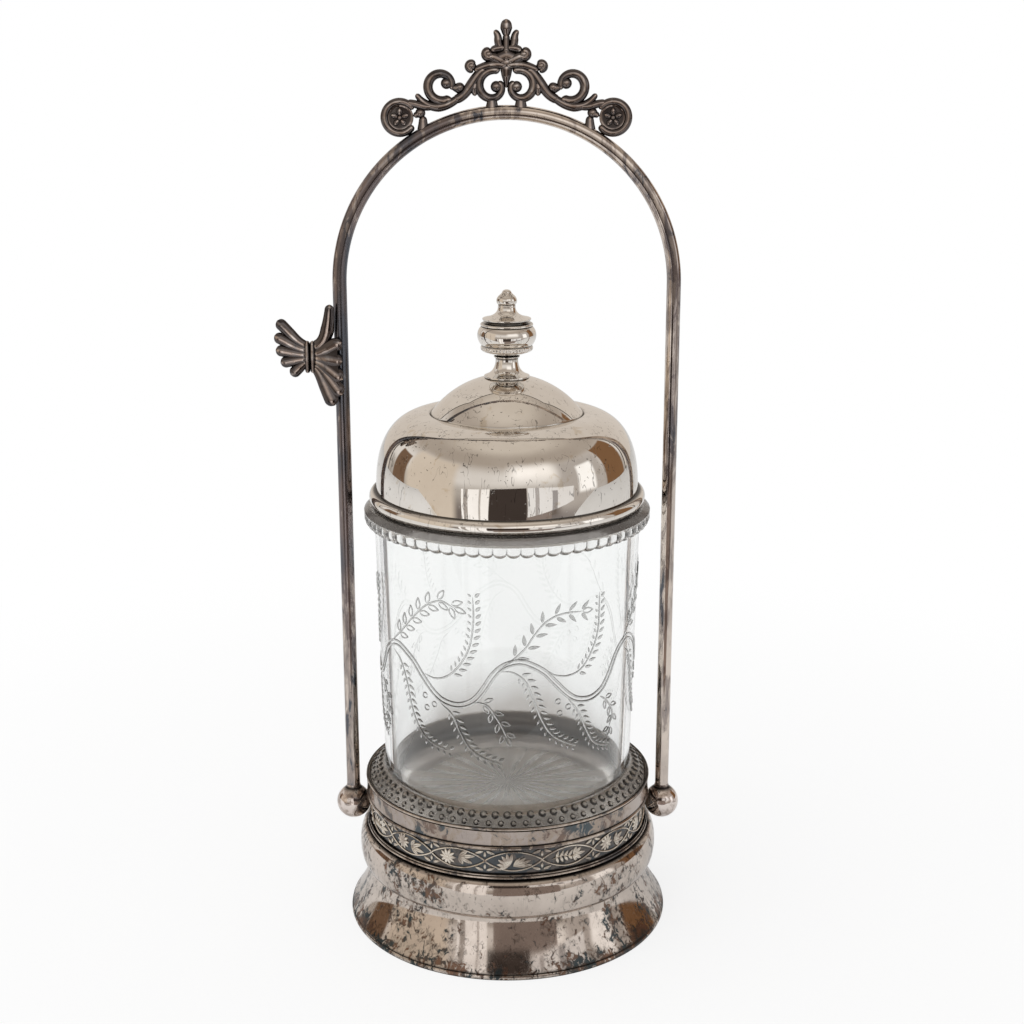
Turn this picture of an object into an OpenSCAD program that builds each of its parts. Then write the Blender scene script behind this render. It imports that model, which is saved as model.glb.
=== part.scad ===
// Pickle castor: a plated stand with a swinging bail handle, a glass jar and a lift-off domed lid.
// Millimetres, +Z up. The origin is the middle of the foot, on the table.

/* [Jar] */
// Diameter of the glass just under the flange
jar_d = 86.4; // [80:0.4:92]
// Height of the jar from its base to the top of its flange
jar_h = 102; // [92:1:112]
// How much the radius shrinks from the flange down to the skirt
jar_taper = 1.9; // [1:0.1:2.6]
// How far the skirt and the flange stand out from the glass wall
jar_lip = 3.3; // [2.8:0.1:3.8]
// Thickness of the glass wall at the mouth
glass_t = 3.6; // [3.2:0.1:4.2]
// Thickness of the glass floor
glass_floor_t = 5; // [4:0.5:7]

/* [Stand] */
// Height of the flared foot up to its waist
foot_h = 18; // [15:0.5:21]
// How far the foot stands out past the moulding
foot_spread = 3.65; // [2:0.05:6]
// Height of the half-round moulding
moulding_h = 14; // [12:0.5:16]
// How far the moulding stands out past the drum
moulding_spread = 3.95; // [3:0.05:4.2]
// Height of the ornamented drum
drum_h = 11.5; // [11:0.5:14]
// Height of the plain collar round the jar
collar_h = 6; // [5:0.5:8]
// Thickness of the spun and rolled metal
metal_t = 0.9; // [0.7:0.05:1.1]

/* [Lid] */
// Height of the lid's wall and shoulder up to the crease
shoulder_h = 29.5; // [26:0.5:33]
// Radius of the crown where it rises from the crease
crown_r = 24.4; // [21:0.2:27]
// Rise of the crown above the crease
crown_h = 12.2; // [10:0.2:14]
// Radius of the half-round roll at the lid's edge
roll_r = 2.3; // [1.9:0.1:2.6]
// Depth of the liner inside the jar's mouth
liner_h = 4; // [3:0.5:6]

/* [Finial] */
// Widest radius of the finial's bulb
bulb_r = 9.2; // [8.4:0.1:10.4]
// Height of the finial's trumpet foot
finial_foot_h = 7.3; // [6:0.1:9]
// Height of the bulb with its rings
bulb_h = 10.8; // [9.5:0.1:12]
// Height of the cap and its bead
cap_h = 10; // [9:0.1:11.5]
// Radius of the threaded stud that holds the finial
stud_r = 1.5; // [1.2:0.1:1.8]

/* [Handle] */
// Diameter of the bail's rod
rod_d = 4.5; // [4:0.1:5]
// Height of the middle of the bail's arch above the pivots
arch_rise = 176.7; // [172:0.1:186]
// Radius of the balls at the ends of the bail
ball_r = 5.75; // [5.3:0.05:6]
// Height of the pivots above the drum's lower edge
pivot_rise = 5.3; // [4.8:0.1:5.6]
// Radius of the pivot pins
pin_r = 1.5; // [1.2:0.1:1.7]
// Height of the tongs hook's tie above the pivots
hook_rise = 153.8; // [90:0.1:165]
// Width of the tongs hook from its outer leaves to the middle of the arm
hook_w = 21; // [18:0.1:24]
// Height of the crest above the arch
crest_h = 25.3; // [22:0.1:28]
// Half of the crest's thickness from front to back
crest_depth = 1.5; // [1:0.1:2.2]

/* [Hidden] */
$fn = 96;

// Clearances
fit_gap = 0.05;
jar_gap = 0.4;
liner_gap = 0.5;
ball_gap = 0.2;
solder_gap = 0.1;
crease_gap = 0.6;

// Radii of the jar and of the stand that holds it
jar_r = jar_d / 2;
jar_low_r = jar_r - jar_taper;
flange_r = jar_r + jar_lip;
skirt_r = jar_low_r + jar_lip + 1.9;
plug_r = skirt_r - 1.6;
mouth_r = jar_r - glass_t;
well_r = jar_low_r - glass_t + 0.6;
collar_in_r = skirt_r + jar_gap;
collar_r = collar_in_r + metal_t;
drum_r = collar_r - 1.4;
drum_in_r = drum_r - metal_t;
moulding_r = drum_r + moulding_spread;
waist_r = drum_r - 0.4;
foot_r = moulding_r + foot_spread;
foot_wire_r = 1.1;
band_wire_r = 0.75;

// Heights of the stand and of the jar
drum_z = foot_h + moulding_h;
collar_z = drum_z + drum_h;
rim_z = collar_z + collar_h;
seat_z = collar_z - 2;
jar_z = seat_z;
jar_floor_z = jar_z + glass_floor_t;
lid_z = jar_z + jar_h;
skirt_top_z = rim_z + 5.5;
skirt_edge_z = rim_z - 0.2;
flange_low_z = lid_z - 6.6;

// Lid and finial
lid_r = flange_r - 4.05;
lid_in_r = lid_r - metal_t;
wall_h = 4.5;
crease_z = lid_z + shoulder_h;
crown_ball_r = (crown_r * crown_r + crown_h * crown_h) / (2 * crown_h);
crown_ball_z = crease_z + crown_h - crown_ball_r;
shoulder_power = 2.5;
liner_r = mouth_r - liner_gap;
liner_in_r = liner_r - metal_t;
finial_foot_r = 7.3;
finial_neck_r = 3.5;
finial_z = crown_ball_z + sqrt(crown_ball_r * crown_ball_r - finial_foot_r * finial_foot_r);
bulb_z = finial_z + finial_foot_h;
cap_z = bulb_z + bulb_h;
finial_top_z = cap_z + cap_h;
washer_r = 5;
washer_t = 0.8;
washer_ball_r = crown_ball_r - metal_t;
washer_z = crown_ball_z + sqrt(washer_ball_r * washer_ball_r - washer_r * washer_r) - washer_t - fit_gap;
nut_h = 2.8;
nut_r = 3.3;
stud_tail = 0.8;

// Handle
rod_r = rod_d / 2;
pivot_z = drum_z + pivot_rise;
arm_x = drum_r + 6.25;
arch_z = pivot_z + arch_rise;
arch_top_z = arch_z + arm_x + rod_r;
ball_flat_x = drum_r + 0.7;
boss_x = ball_flat_x - ball_gap;
boss_r = 3.2;
bore_end_x = arm_x + ball_r - 2;
pin_end_x = bore_end_x - 0.4;
pin_head_r = 2.5;
pin_head_t = 1.6;
pin_head_x = sqrt(drum_in_r * drum_in_r - pin_head_r * pin_head_r) - fit_gap;
rod_foot_z = pivot_z + pin_r + 0.9;
bar_sides = 8;

// Castings: the crest's outline is drawn 25.3 units high and the hook's 21 units wide
crest_unit = crest_h / 25.3;
hook_unit = hook_w / 21;

// Colours
silver = [0.74, 0.70, 0.64];
dark_silver = [0.40, 0.37, 0.35];
glass = [0.80, 0.83, 0.82, 0.45];
brass = [0.66, 0.53, 0.30];

// Curves

function mix(a, b, t) = a + (b - a) * t;

// Part of a circle, or of a spiral when the two radii differ
function arc(c, r0, r1, a0, a1, n) =
  [for (i = [0:n]) let (r = mix(r0, r1, i / n), a = mix(a0, a1, i / n)) c + r * [cos(a), sin(a)]];

// A smooth curve through two end points, pulled by two handles
function bezier(p, n) =
  [for (i = [0:n]) let (t = i / n, s = 1 - t)
    s * s * s * p[0] + 3 * s * s * t * p[1] + 3 * s * t * t * p[2] + t * t * t * p[3]];

// Quarter of a rounded square from (r, z) on its side up to the top, where the corner eases off by its power
function rounded_quarter(c, a, b, n) =
  [for (i = [0:n]) let (t = 90 * i / n, k = 2 / shoulder_power)
    c + [a * pow(cos(t), k), b * pow(sin(t), k)]];

// Shared forms

module ring(r, z, wire) {
  rotate_extrude() translate([r, z]) circle(wire);
}

module turn(points) {
  rotate_extrude() polygon(points);
}

module tube(r_in, r_out, z0, z1) {
  rotate_extrude() translate([r_in, z0]) square([r_out - r_in, z1 - z0]);
}

module bore(r, z0, z1) {
  translate([0, 0, z0]) cylinder(r = r, h = z1 - z0);
}

// A round rod along X from x0 to x1 at the pivots' height, on the side given by -1 or 1
module cross_rod(side, r, x0, x1) {
  translate([side * x0, 0, pivot_z]) rotate([0, side * 90, 0]) cylinder(r = r, h = x1 - x0);
}

// Stand

module foot_wire() {
  color(silver) rotate_extrude() difference() {
    translate([foot_r - foot_wire_r, foot_wire_r * 0.6]) circle(foot_wire_r);
    translate([0, -foot_wire_r]) square([foot_r + 1, foot_wire_r]);
  }
}

module foot_skirt() {
  edge = [foot_r - 0.25, foot_wire_r * 1.6 + fit_gap];
  rise = foot_h - edge[1];
  flare = edge[0] - waist_r;
  sloped_t = metal_t * 1.2;
  outside = bezier([
    edge, edge + [-flare * 0.7, rise * 0.5], [waist_r, foot_h - rise * 0.2], [waist_r, foot_h]
  ], 20);
  inside = [for (i = [20:-1:0]) outside[i] - [mix(sloped_t, metal_t, i / 20), 0]];
  color(silver) turn(concat(outside, inside));
}

module moulding() {
  half = moulding_h / 2 - 0.3;
  spread = moulding_r - waist_r;
  middle = [waist_r, foot_h + moulding_h / 2];
  outside = [for (a = [-90:9:90]) middle + [spread * pow(cos(a), 0.55), half * sin(a)]];
  inside = [for (a = [90:-9:-90])
    middle + [(spread - metal_t) * pow(cos(a), 0.55), (half - metal_t) * sin(a)]];
  seam = waist_r - metal_t;
  color(silver) turn(concat(
    [[seam, foot_h + fit_gap], [waist_r, foot_h + fit_gap]], outside,
    [[waist_r, drum_z - fit_gap], [seam, drum_z - fit_gap]], [[seam, middle[1] + half - metal_t]], inside
  ));
}

module drum() {
  color(dark_silver) difference() {
    tube(drum_in_r, drum_r, drum_z, collar_z - fit_gap);
    for (side = [-1, 1]) {
      cross_rod(side, boss_r + fit_gap, drum_in_r - 4, boss_x + 1);
    }
  }
}

module drum_wire_low() {
  color(silver) ring(drum_r + band_wire_r + fit_gap, drum_z + band_wire_r, band_wire_r);
}

module drum_wire_high() {
  color(silver) ring(drum_r + band_wire_r + fit_gap, collar_z - band_wire_r - fit_gap, band_wire_r);
}

module collar() {
  foot_in_r = drum_in_r + fit_gap;
  color(silver) turn([
    [foot_in_r, collar_z], [collar_r - 0.3, collar_z], [collar_r, collar_z + 0.5],
    [collar_r, rim_z - 0.8], [collar_in_r, rim_z - 0.8], [collar_in_r, collar_z + 1.6],
    [foot_in_r, collar_z + 0.9]
  ]);
}

module collar_wire() {
  wire = metal_t * 0.6;
  color(silver) ring(mix(collar_in_r, collar_r, 0.5) + 0.1, rim_z - 0.8 + wire + fit_gap, wire);
}

module cup_floor() {
  color(silver) bore(drum_in_r - fit_gap, seat_z - metal_t, seat_z);
}

module pivot_boss(side) {
  color(dark_silver) difference() {
    cross_rod(side, boss_r, drum_in_r, boss_x);
    cross_rod(side, pin_r + fit_gap, drum_in_r - 1, boss_x + 1);
  }
}

module pivot_pin(side) {
  color(brass) {
    cross_rod(side, pin_r, pin_head_x - pin_head_t, pin_end_x);
    cross_rod(side, pin_head_r, pin_head_x - pin_head_t, pin_head_x);
  }
}

module left_boss() { pivot_boss(-1); }
module right_boss() { pivot_boss(1); }
module left_pin() { pivot_pin(-1); }
module right_pin() { pivot_pin(1); }

// Jar

module glass_jar() {
  star_rise = 0.8;
  star_r = plug_r - 9;
  corner = 4;
  color(glass) turn(concat(
    [[0, jar_z + star_rise], [star_r, jar_z + star_rise], [star_r + 1, jar_z], [plug_r - 1, jar_z]],
    [[plug_r, jar_z + 1.2], [plug_r, skirt_edge_z - 2.6]],
    [[skirt_r, skirt_edge_z - 1.2], [skirt_r, skirt_edge_z]],
    bezier([
      [skirt_r - 0.5, skirt_edge_z + 0.7], [jar_low_r + 2.6, skirt_edge_z + 3.4],
      [jar_low_r + 0.2, skirt_edge_z + 3.6], [jar_low_r, skirt_top_z]
    ], 8),
    bezier([
      [jar_r, flange_low_z], [jar_r + 1.7, flange_low_z],
      [flange_r - 0.1, flange_low_z + 0.9], [flange_r, flange_low_z + 2.7]
    ], 8),
    [[flange_r, lid_z - 2], [flange_r - 1.6, lid_z], [mouth_r + 0.6, lid_z], [mouth_r, lid_z - 0.6]],
    [[mouth_r, lid_z - 7]],
    arc([well_r - corner, jar_floor_z + corner], corner, corner, 0, -90, 8),
    [[0, jar_floor_z]]
  ));
}

// Lid

module lid_shell() {
  low = lid_z + wall_h;
  out_a = lid_r - crown_r;
  out_b = crease_z - low;
  shoulder = rounded_quarter([crown_r + crease_gap, low], out_a - crease_gap, out_b, 16);
  under = rounded_quarter([crown_r, low], out_a - metal_t, out_b - metal_t, 16);
  crown_a = acos(crown_r / crown_ball_r);
  hole_r = stud_r + fit_gap;
  in_ball_r = crown_ball_r - metal_t;
  centre = [0, crown_ball_z];
  color(silver) turn(concat(
    [[lid_in_r, lid_z + 0.3], [lid_r, lid_z + 0.3]],
    shoulder,
    [[crown_r, crease_z - crease_gap]],
    arc(centre, crown_ball_r, crown_ball_r, crown_a, acos(hole_r / crown_ball_r), 16),
    arc(centre, in_ball_r, in_ball_r, acos(hole_r / in_ball_r), acos((crown_r - metal_t) / in_ball_r), 16),
    [[crown_r - metal_t, crease_z - crease_gap - metal_t]],
    [for (i = [15:-1:0]) under[i]]
  ));
}

module lid_roll() {
  color(silver) rotate_extrude() difference() {
    translate([lid_r + fit_gap, lid_z + 0.3 + roll_r]) circle(roll_r);
    translate([0, lid_z]) square([lid_r + fit_gap, 3 * roll_r]);
  }
}

module lid_liner() {
  color(silver) turn([
    [liner_in_r, lid_z - liner_h], [liner_r, lid_z - liner_h], [liner_r, lid_z],
    [lid_in_r - fit_gap, lid_z], [lid_in_r - fit_gap, lid_z + metal_t], [liner_in_r, lid_z + metal_t]
  ]);
}

module finial_foot() {
  flare = bezier([
    [finial_foot_r, finial_z + 0.7], [finial_neck_r + 0.9, finial_z + 1.6],
    [finial_neck_r, finial_z + 3.6], [finial_neck_r + 0.1, bulb_z - fit_gap]
  ], 12);
  color(silver) difference() {
    rotate_extrude() difference() {
      polygon(concat([[0, crown_ball_z], [finial_foot_r, crown_ball_z], [finial_foot_r, finial_z]], flare,
        [[0, bulb_z - fit_gap]]));
      translate([0, crown_ball_z]) circle(crown_ball_r + fit_gap);
    }
    bore(stud_r + fit_gap, finial_z - 2, bulb_z + 1);
  }
}

module finial_bulb() {
  ring_r = bulb_r - 1;
  low_ring_z = bulb_z + 1.7;
  high_ring_z = cap_z - 1.6;
  belly = bezier([
    [ring_r, low_ring_z + 1.5], [bulb_r + 0.5, low_ring_z + 3.4],
    [bulb_r + 0.6, high_ring_z - 1.6], [ring_r, high_ring_z]
  ], 12);
  color(silver) difference() {
    turn(concat(
      [[0, bulb_z], [finial_neck_r + 0.5, bulb_z]],
      [[ring_r - 0.3, low_ring_z - 0.2], [ring_r + 0.1, low_ring_z + 0.4], [ring_r - 0.3, low_ring_z + 1]],
      belly,
      [[ring_r + 0.2, high_ring_z + 0.5], [ring_r - 0.2, cap_z - 0.6], [ring_r - 1.6, cap_z - 0.5]],
      [[ring_r - 1.6, cap_z - fit_gap], [0, cap_z - fit_gap]]
    ));
    bore(stud_r + fit_gap, bulb_z - 1, cap_z + 1);
  }
}

module finial_cap() {
  base_r = bulb_r - 1.4;
  tip_r = 3.1;
  waist_z = cap_z + cap_h * 0.5;
  trumpet = bezier([
    [base_r, cap_z + 0.9], [tip_r + 0.6, cap_z + 1.6], [tip_r - 0.4, waist_z - 2], [tip_r - 0.3, waist_z]
  ], 10);
  bead = bezier([
    [tip_r, waist_z + 0.8], [tip_r + 0.6, waist_z + 2.6], [tip_r - 0.6, finial_top_z - 0.2], [0, finial_top_z]
  ], 10);
  color(silver) difference() {
    turn(concat(
      [[0, cap_z], [base_r - 1, cap_z], [base_r, cap_z + 0.4]],
      trumpet,
      [[tip_r - 0.5, waist_z + 0.4]],
      bead
    ));
    bore(stud_r + fit_gap, cap_z - 1, waist_z);
  }
}

module finial_stud() {
  color(brass) bore(stud_r, washer_z - nut_h - stud_tail, cap_z + cap_h * 0.5 - 0.4);
}

module finial_washer() {
  color(brass) tube(stud_r + fit_gap, washer_r, washer_z, washer_z + washer_t);
}

module finial_nut() {
  color(brass) difference() {
    translate([0, 0, washer_z - nut_h]) cylinder(r = nut_r, h = nut_h - fit_gap, $fn = 6);
    bore(stud_r + fit_gap, washer_z - nut_h - 1, washer_z + 1);
  }
}

// Handle

module bail_rod() {
  color(dark_silver) {
    for (side = [-1, 1]) {
      translate([side * arm_x, 0, 0]) bore(rod_r, rod_foot_z, arch_z);
    }
    translate([0, 0, arch_z]) rotate([90, 0, 0]) {
      rotate_extrude(angle = 180) translate([arm_x, 0]) circle(rod_r);
    }
  }
}

module bail_ball(side) {
  color(dark_silver) difference() {
    translate([side * arm_x, 0, pivot_z]) sphere(ball_r);
    cross_rod(side, ball_r, ball_flat_x - ball_r, ball_flat_x);
    cross_rod(side, pin_r + fit_gap, ball_flat_x - 1, bore_end_x);
    translate([side * arm_x, 0, 0]) bore(rod_r + fit_gap, rod_foot_z - fit_gap, pivot_z + 2 * ball_r);
  }
}

module left_ball() { bail_ball(-1); }
module right_ball() { bail_ball(1); }

// A cast bar of oval section along points [x, z], fat at r_mid, with its middle at y0 to y1
module bar(path, r_start, r_mid, r_end, depth, y0 = 0, y1 = 0) {
  last = len(path) - 1;
  function fat(t) = t < 0.5 ? mix(r_start, r_mid, 2 * t) : mix(r_mid, r_end, 2 * t - 1);
  function across(i) =
    let (d = path[min(i + 1, last)] - path[max(i - 1, 0)]) [-d[1], d[0]] / norm(d);
  function section(i) = [for (k = [0:bar_sides - 1])
    let (a = 360 * (k + 0.5) / bar_sides, r = fat(i / last), p = path[i] + r * cos(a) * across(i))
    [p[0], mix(y0, y1, i / last) + depth * r / max(r_start, r_mid, r_end) * sin(a), p[1]]];
  front = [for (k = [0:bar_sides - 1]) k];
  back = [for (k = [0:bar_sides - 1]) k + bar_sides];
  for (i = [0:last - 1]) {
    hull() polyhedron(concat(section(i), section(i + 1)), [front, back]);
  }
}

module knob(at, r, depth, y = 0) {
  hull() translate([at[0], y, at[1]]) scale([1, depth / r, 1]) sphere(r, $fn = 8);
}

// Radius of the arch's upper side, and its height at x from the crest's own origin, in the crest's units
function arch_out() = (arm_x + rod_r) / crest_unit;
function rod_top(x) = sqrt(arch_out() * arch_out() - x * x) - arch_out();

// Half of the pierced crest, from the top down: tulip petal, volute, band, heart scroll, side scroll, rosette
module crest_half() {
  d = crest_depth / crest_unit;
  gap = solder_gap / crest_unit;
  volute = [5.4, 15];
  curl = [10.6, 11.5];
  heart = [4.1, 6];
  heart_eye = [3.1, 5.9];
  side_scroll = [19.9, 5.6];
  rosette_x = 32.7;
  rosette_r = 4.6;
  scroll_r = 1.1;
  rosette_out = arch_out() + rosette_r + scroll_r + gap;
  rosette = [rosette_x, sqrt(rosette_out * rosette_out - rosette_x * rosette_x) - arch_out()];
  foot_x = 4.3;
  bar(bezier([[1.2, 16.4], [3, 17.8], [2, 20.4], [3.6, 22]], 5), 1.3, 1.5, 0.7, d);
  bar(bezier([[0, 13.2], [1.6, 13.6], [2.8, 15.6], [4.4, 16.6]], 4), 1.5, 1.5, 1, d);
  bar(arc(volute, 1.5, 1, 120, -200, 8), 1, 1, 0.8, d);
  knob(volute, 1.2, d);
  bar(bezier([[0, 11.3], [3.4, 12.8], [7, 11.4], [9.8, 10]], 6), 1.1, 1.1, 0.9, d);
  bar(arc(curl, 1.3, 1, -120, 160, 7), 0.8, 0.8, 0.6, d);
  knob(curl, 1.2, d);
  bar(concat(arc(heart, 4.6, 2.6, 115, -190, 12), [heart_eye + [-0.6, 1.6]]), 0.9, 1.15, 0.7, d);
  knob(heart_eye, 1.5, d);
  bar([[foot_x, 2.6], [foot_x, 1.2], [foot_x, rod_top(foot_x) + gap]], 1.2, 1.2, 1.6, d);
  bar([[9.4, 6.6], [9.6, 4.6], [9.5, 2.6]], 0.6, 1.2, 0.6, d);
  bar(bezier([[6.4, 10.9], [11, 8], [11, 2.6], [16.2, 1.4]], 7), 1, 1.25, 1.1, d);
  bar(arc(side_scroll, 5, 3.4, 228, 540, 14), 1.1, 1.15, 0.9, d);
  knob(side_scroll + [-2, 1], 1.6, d);
  knob([14.2, 5.2], 1.6, d);
  bar(bezier([[15.4, 0.7], [20, -1.8], [24.8, -1.6], [27.2, 3.1]], 7), 0.8, 1.3, 0.5, d);
  knob([26.4, -2.6], 1.5, d);
  bar(arc(rosette, rosette_r + 0.5, rosette_r, 122, -110, 13), 0.9, scroll_r, scroll_r, d);
  bar(bezier([[23.2, -1], [25.6, -1.8], [27.4, 0.2], [30.4, 0.4]], 5), 0.8, 1, 1, d);
  bar([rosette + [-4, 0.6], rosette + [-5.4, 1]], 0.9, 0.9, 0.9, d);
  bar(arc(rosette, rosette_r, rosette_r + 0.2, -80, -118, 3), scroll_r, scroll_r, 0.8, d);
  hull() translate([rosette[0], 0, rosette[1]]) rotate([90, 0, 0]) {
    cylinder(r = rosette_r - 0.5, h = d * 1.3, center = true, $fn = 16);
  }
  knob(rosette, 0.9, d * 1.1);
  for (petal = [0:4]) {
    knob(rosette + 2.1 * [sin(72 * petal), cos(72 * petal)], 1.1, d * 1.1);
  }
}

module crest() {
  d = crest_depth / crest_unit;
  color(dark_silver) translate([0, 0, arch_top_z]) scale([crest_unit, crest_unit, crest_unit]) {
    for (side = [0, 1]) {
      mirror([side, 0, 0]) crest_half();
    }
    bar([[0, 11.4], [0, 9.8], [0, 7.8], [0, 5.7]], 1.6, 1.6, 0.3, d);
    bar([[0, 12.6], [0, 17], [0, 21]], 1.1, 1, 1, d);
    bar([[0, 20], [0, 22.2], [0, 23.8], [0, 25.3]], 1, 2.3, 0.6, d);
    knob([0, 15.9], 1, d * 1.1);
  }
}

// One leaf of the hook from the tie at root out to a round tip, between depths y0 and y1
module hook_leaf(root, tip, r, depth, y0, y1) {
  pull = [(tip[0] - root[0]) * 0.4, (tip[1] - root[1]) * 0.15];
  bar(bezier([root, root + pull, mix(root, tip, 0.7), tip], 5), r * 0.6, r * 0.9, r, depth, y0, y1);
  knob(tip, r * 1.02, depth * 0.98, y1);
}

// Thin plate behind a spray of leaves, from the tie out to a share of their length
module hook_web(root, tips, share, t, y) {
  hull() for (p = concat([root], [for (tip = tips) mix(root, tip, share)])) {
    translate([p[0], y, p[1]]) sphere(t, $fn = 6);
  }
}

// Bow of leaves tied in the middle: the tongs hang in the notch above the tie
module tongs_hook() {
  tie_x = -9.9;
  tie_h = 5.2;
  depth = 1.4;
  web_t = 0.7;
  y_tie = -1;
  y_rod = -(rod_r + solder_gap) / hook_unit - depth;
  y_web = y_tie - 0.13;
  horn_r = [1.4, 1.9, 1.25];
  horn_x = -(rod_r + solder_gap) / hook_unit - horn_r[2];
  out_root = [tie_x - 0.6, 0];
  in_root = [tie_x + 0.6, 0];
  out_leaves = [[-18.7, 10.8], [-19.5, 6.2], [-19, 2.1], [-17.6, -1.5], [-14.8, -4.6]];
  in_leaves = [[-1.3, 4.4], [-1.4, -0.8], [-1.1, -5.8], [-1, -10.6], [-3.1, -14.8]];
  color(dark_silver) translate([-arm_x, 0, pivot_z + hook_rise]) scale([hook_unit, hook_unit, hook_unit]) {
    for (x = [tie_x - 0.8, tie_x + 0.8]) {
      bar([[x, -tie_h], [x, -tie_h / 2], [x, tie_h / 2], [x, tie_h]], 0.8, 1, 0.8, depth * 1.4, y_tie, y_tie);
    }
    for (tip = out_leaves) {
      hook_leaf(out_root + [0, tip[1] * 0.3], tip, 1.9, depth, y_tie, y_tie);
    }
    for (tip = in_leaves) {
      hook_leaf(in_root + [0, tip[1] * 0.22], tip, 1.9, depth, y_tie, y_rod);
    }
    hook_web(out_root, out_leaves, 0.88, web_t, y_web);
    hook_web(in_root, in_leaves, 0.6, web_t, y_web);
    bar(bezier([in_root + [0, 3], [-5.4, 4.2], [horn_x - 0.9, 9], [horn_x, 16]], 7),
      horn_r[0], horn_r[1], horn_r[2], depth, y_tie, y_tie);
  }
}

foot_wire();
foot_skirt();
moulding();
drum();
drum_wire_low();
drum_wire_high();
collar();
collar_wire();
cup_floor();
left_boss();
right_boss();
left_pin();
right_pin();
glass_jar();
lid_shell();
lid_roll();
lid_liner();
finial_foot();
finial_bulb();
finial_cap();
finial_stud();
finial_washer();
finial_nut();
bail_rod();
left_ball();
right_ball();
crest();
tongs_hook();
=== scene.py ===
# %% [markdown]
# # A plated pickle castor
# A pickle castor is a table stand for one glass jar: a spun metal foot and cup, a bail handle that swings on two
# pivots, and a domed lid. The solids of every piece come in as a fixed frame. This lesson dresses them: it turns,
# sweeps and embosses fine meshes over the plain solids, and gives each one a worn, tarnished or clear finish.

# %% Load the frame
import math

import bmesh
import bpy
import numpy as np
from mathutils import Matrix, Vector


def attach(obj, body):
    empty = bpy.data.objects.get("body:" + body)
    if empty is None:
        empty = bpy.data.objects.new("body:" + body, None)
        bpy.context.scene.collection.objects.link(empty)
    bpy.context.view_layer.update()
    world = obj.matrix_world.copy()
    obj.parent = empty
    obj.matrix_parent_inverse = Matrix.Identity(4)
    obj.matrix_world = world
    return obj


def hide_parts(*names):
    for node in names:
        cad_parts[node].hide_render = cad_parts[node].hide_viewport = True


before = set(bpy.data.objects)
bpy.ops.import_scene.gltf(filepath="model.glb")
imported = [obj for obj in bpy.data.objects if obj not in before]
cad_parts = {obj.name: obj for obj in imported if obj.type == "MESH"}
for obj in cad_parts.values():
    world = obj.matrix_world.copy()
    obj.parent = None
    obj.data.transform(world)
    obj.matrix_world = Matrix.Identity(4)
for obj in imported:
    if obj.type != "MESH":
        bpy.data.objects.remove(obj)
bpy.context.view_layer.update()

MM = 0.001

# %% [markdown]
# ## Camera
# The picture looks slightly down on the castor from in front, with a lens a little longer than normal. The
# camera's place was worked out by lining up the foot, the jar's rims and the arch, so it is set as one matrix
# whose columns are the camera's right, its up and the way back from the lens.

# %% Camera
CAMERA_PLACE = Vector((0.0016, -0.52190, 0.28183))
CAMERA_TILT = 0.266
CAMERA_ROLL = -0.001
LENS_MM, SENSOR_MM = 58.18, 36


def put_in_scene(name, data):
    made = bpy.data.objects.new(name, data)
    bpy.context.scene.collection.objects.link(made)
    return made


ahead = Vector((0, math.cos(CAMERA_TILT), -math.sin(CAMERA_TILT)))
level_up = Vector((0, math.sin(CAMERA_TILT), math.cos(CAMERA_TILT)))
level_right = Vector((1, 0, 0))
right = math.cos(CAMERA_ROLL) * level_right + math.sin(CAMERA_ROLL) * level_up
up = math.cos(CAMERA_ROLL) * level_up - math.sin(CAMERA_ROLL) * level_right

lens = bpy.data.cameras.new("camera")
lens.lens, lens.sensor_width = LENS_MM, SENSOR_MM
camera = put_in_scene("camera", lens)
camera.matrix_world = Matrix([*zip(right, up, -ahead, CAMERA_PLACE), (0, 0, 0, 1)])
bpy.context.scene.camera = camera
bpy.context.scene.view_settings.view_transform = "Standard"
print("camera at", [round(x, 3) for x in CAMERA_PLACE])

# %% [markdown]
# ## Short words for shader nodes
# A node tree is a list of nodes and links. These helpers write it as nested calls: an input that is given a
# socket is linked, and an input that is given a number or a colour is set. That keeps each finish readable
# further down.

# %% Node helpers
def add(tree, kind, inputs=None, **settings):
    made = tree.nodes.new(kind)
    for name, value in settings.items():
        setattr(made, name, value)
    for name, value in (inputs or {}).items():
        socket = made.inputs[name]
        if isinstance(value, bpy.types.NodeSocket):
            tree.links.new(value, socket)
        else:
            socket.default_value = (*value, 1.0) if socket.type == "RGBA" else value
    return made


def maths(tree, operation, a, b=0.0, clamp=False):
    return add(tree, "ShaderNodeMath", {0: a, 1: b}, operation=operation, use_clamp=clamp).outputs[0]


def times(tree, a, b):
    return maths(tree, "MULTIPLY", a, b)


def plus(tree, a, b):
    return maths(tree, "ADD", a, b)


def between(tree, value, low, high, to_low=0.0, to_high=1.0, smooth=True):
    """The value as a share of the way from low to high, held at both ends."""
    return add(tree, "ShaderNodeMapRange",
               {"Value": value, "From Min": low, "From Max": high, "To Min": to_low, "To Max": to_high},
               interpolation_type="SMOOTHSTEP" if smooth else "LINEAR", clamp=True).outputs[0]


def falling(tree, value, low, high):
    """1 up to low and 0 from high on."""
    return between(tree, value, low, high, 1.0, 0.0)


def blend(tree, share, first, second):
    """The first colour where the share is 0 and the second where it is 1."""
    return add(tree, "ShaderNodeMix", {0: share, 6: first, 7: second}, data_type="RGBA").outputs[2]


def noise(tree, place, scale, detail=4.0, rough=0.5, twist=0.0):
    return add(tree, "ShaderNodeTexNoise", {"Vector": place, "Scale": scale, "Detail": detail, "Roughness": rough,
                                            "Distortion": twist}).outputs[0]


# %% Empty finishes
def new_finish(name):
    """A material with an empty node tree, and the tree."""
    made = bpy.data.materials.new(name)
    made.use_nodes = True
    made.node_tree.nodes.clear()
    return made, made.node_tree


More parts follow.
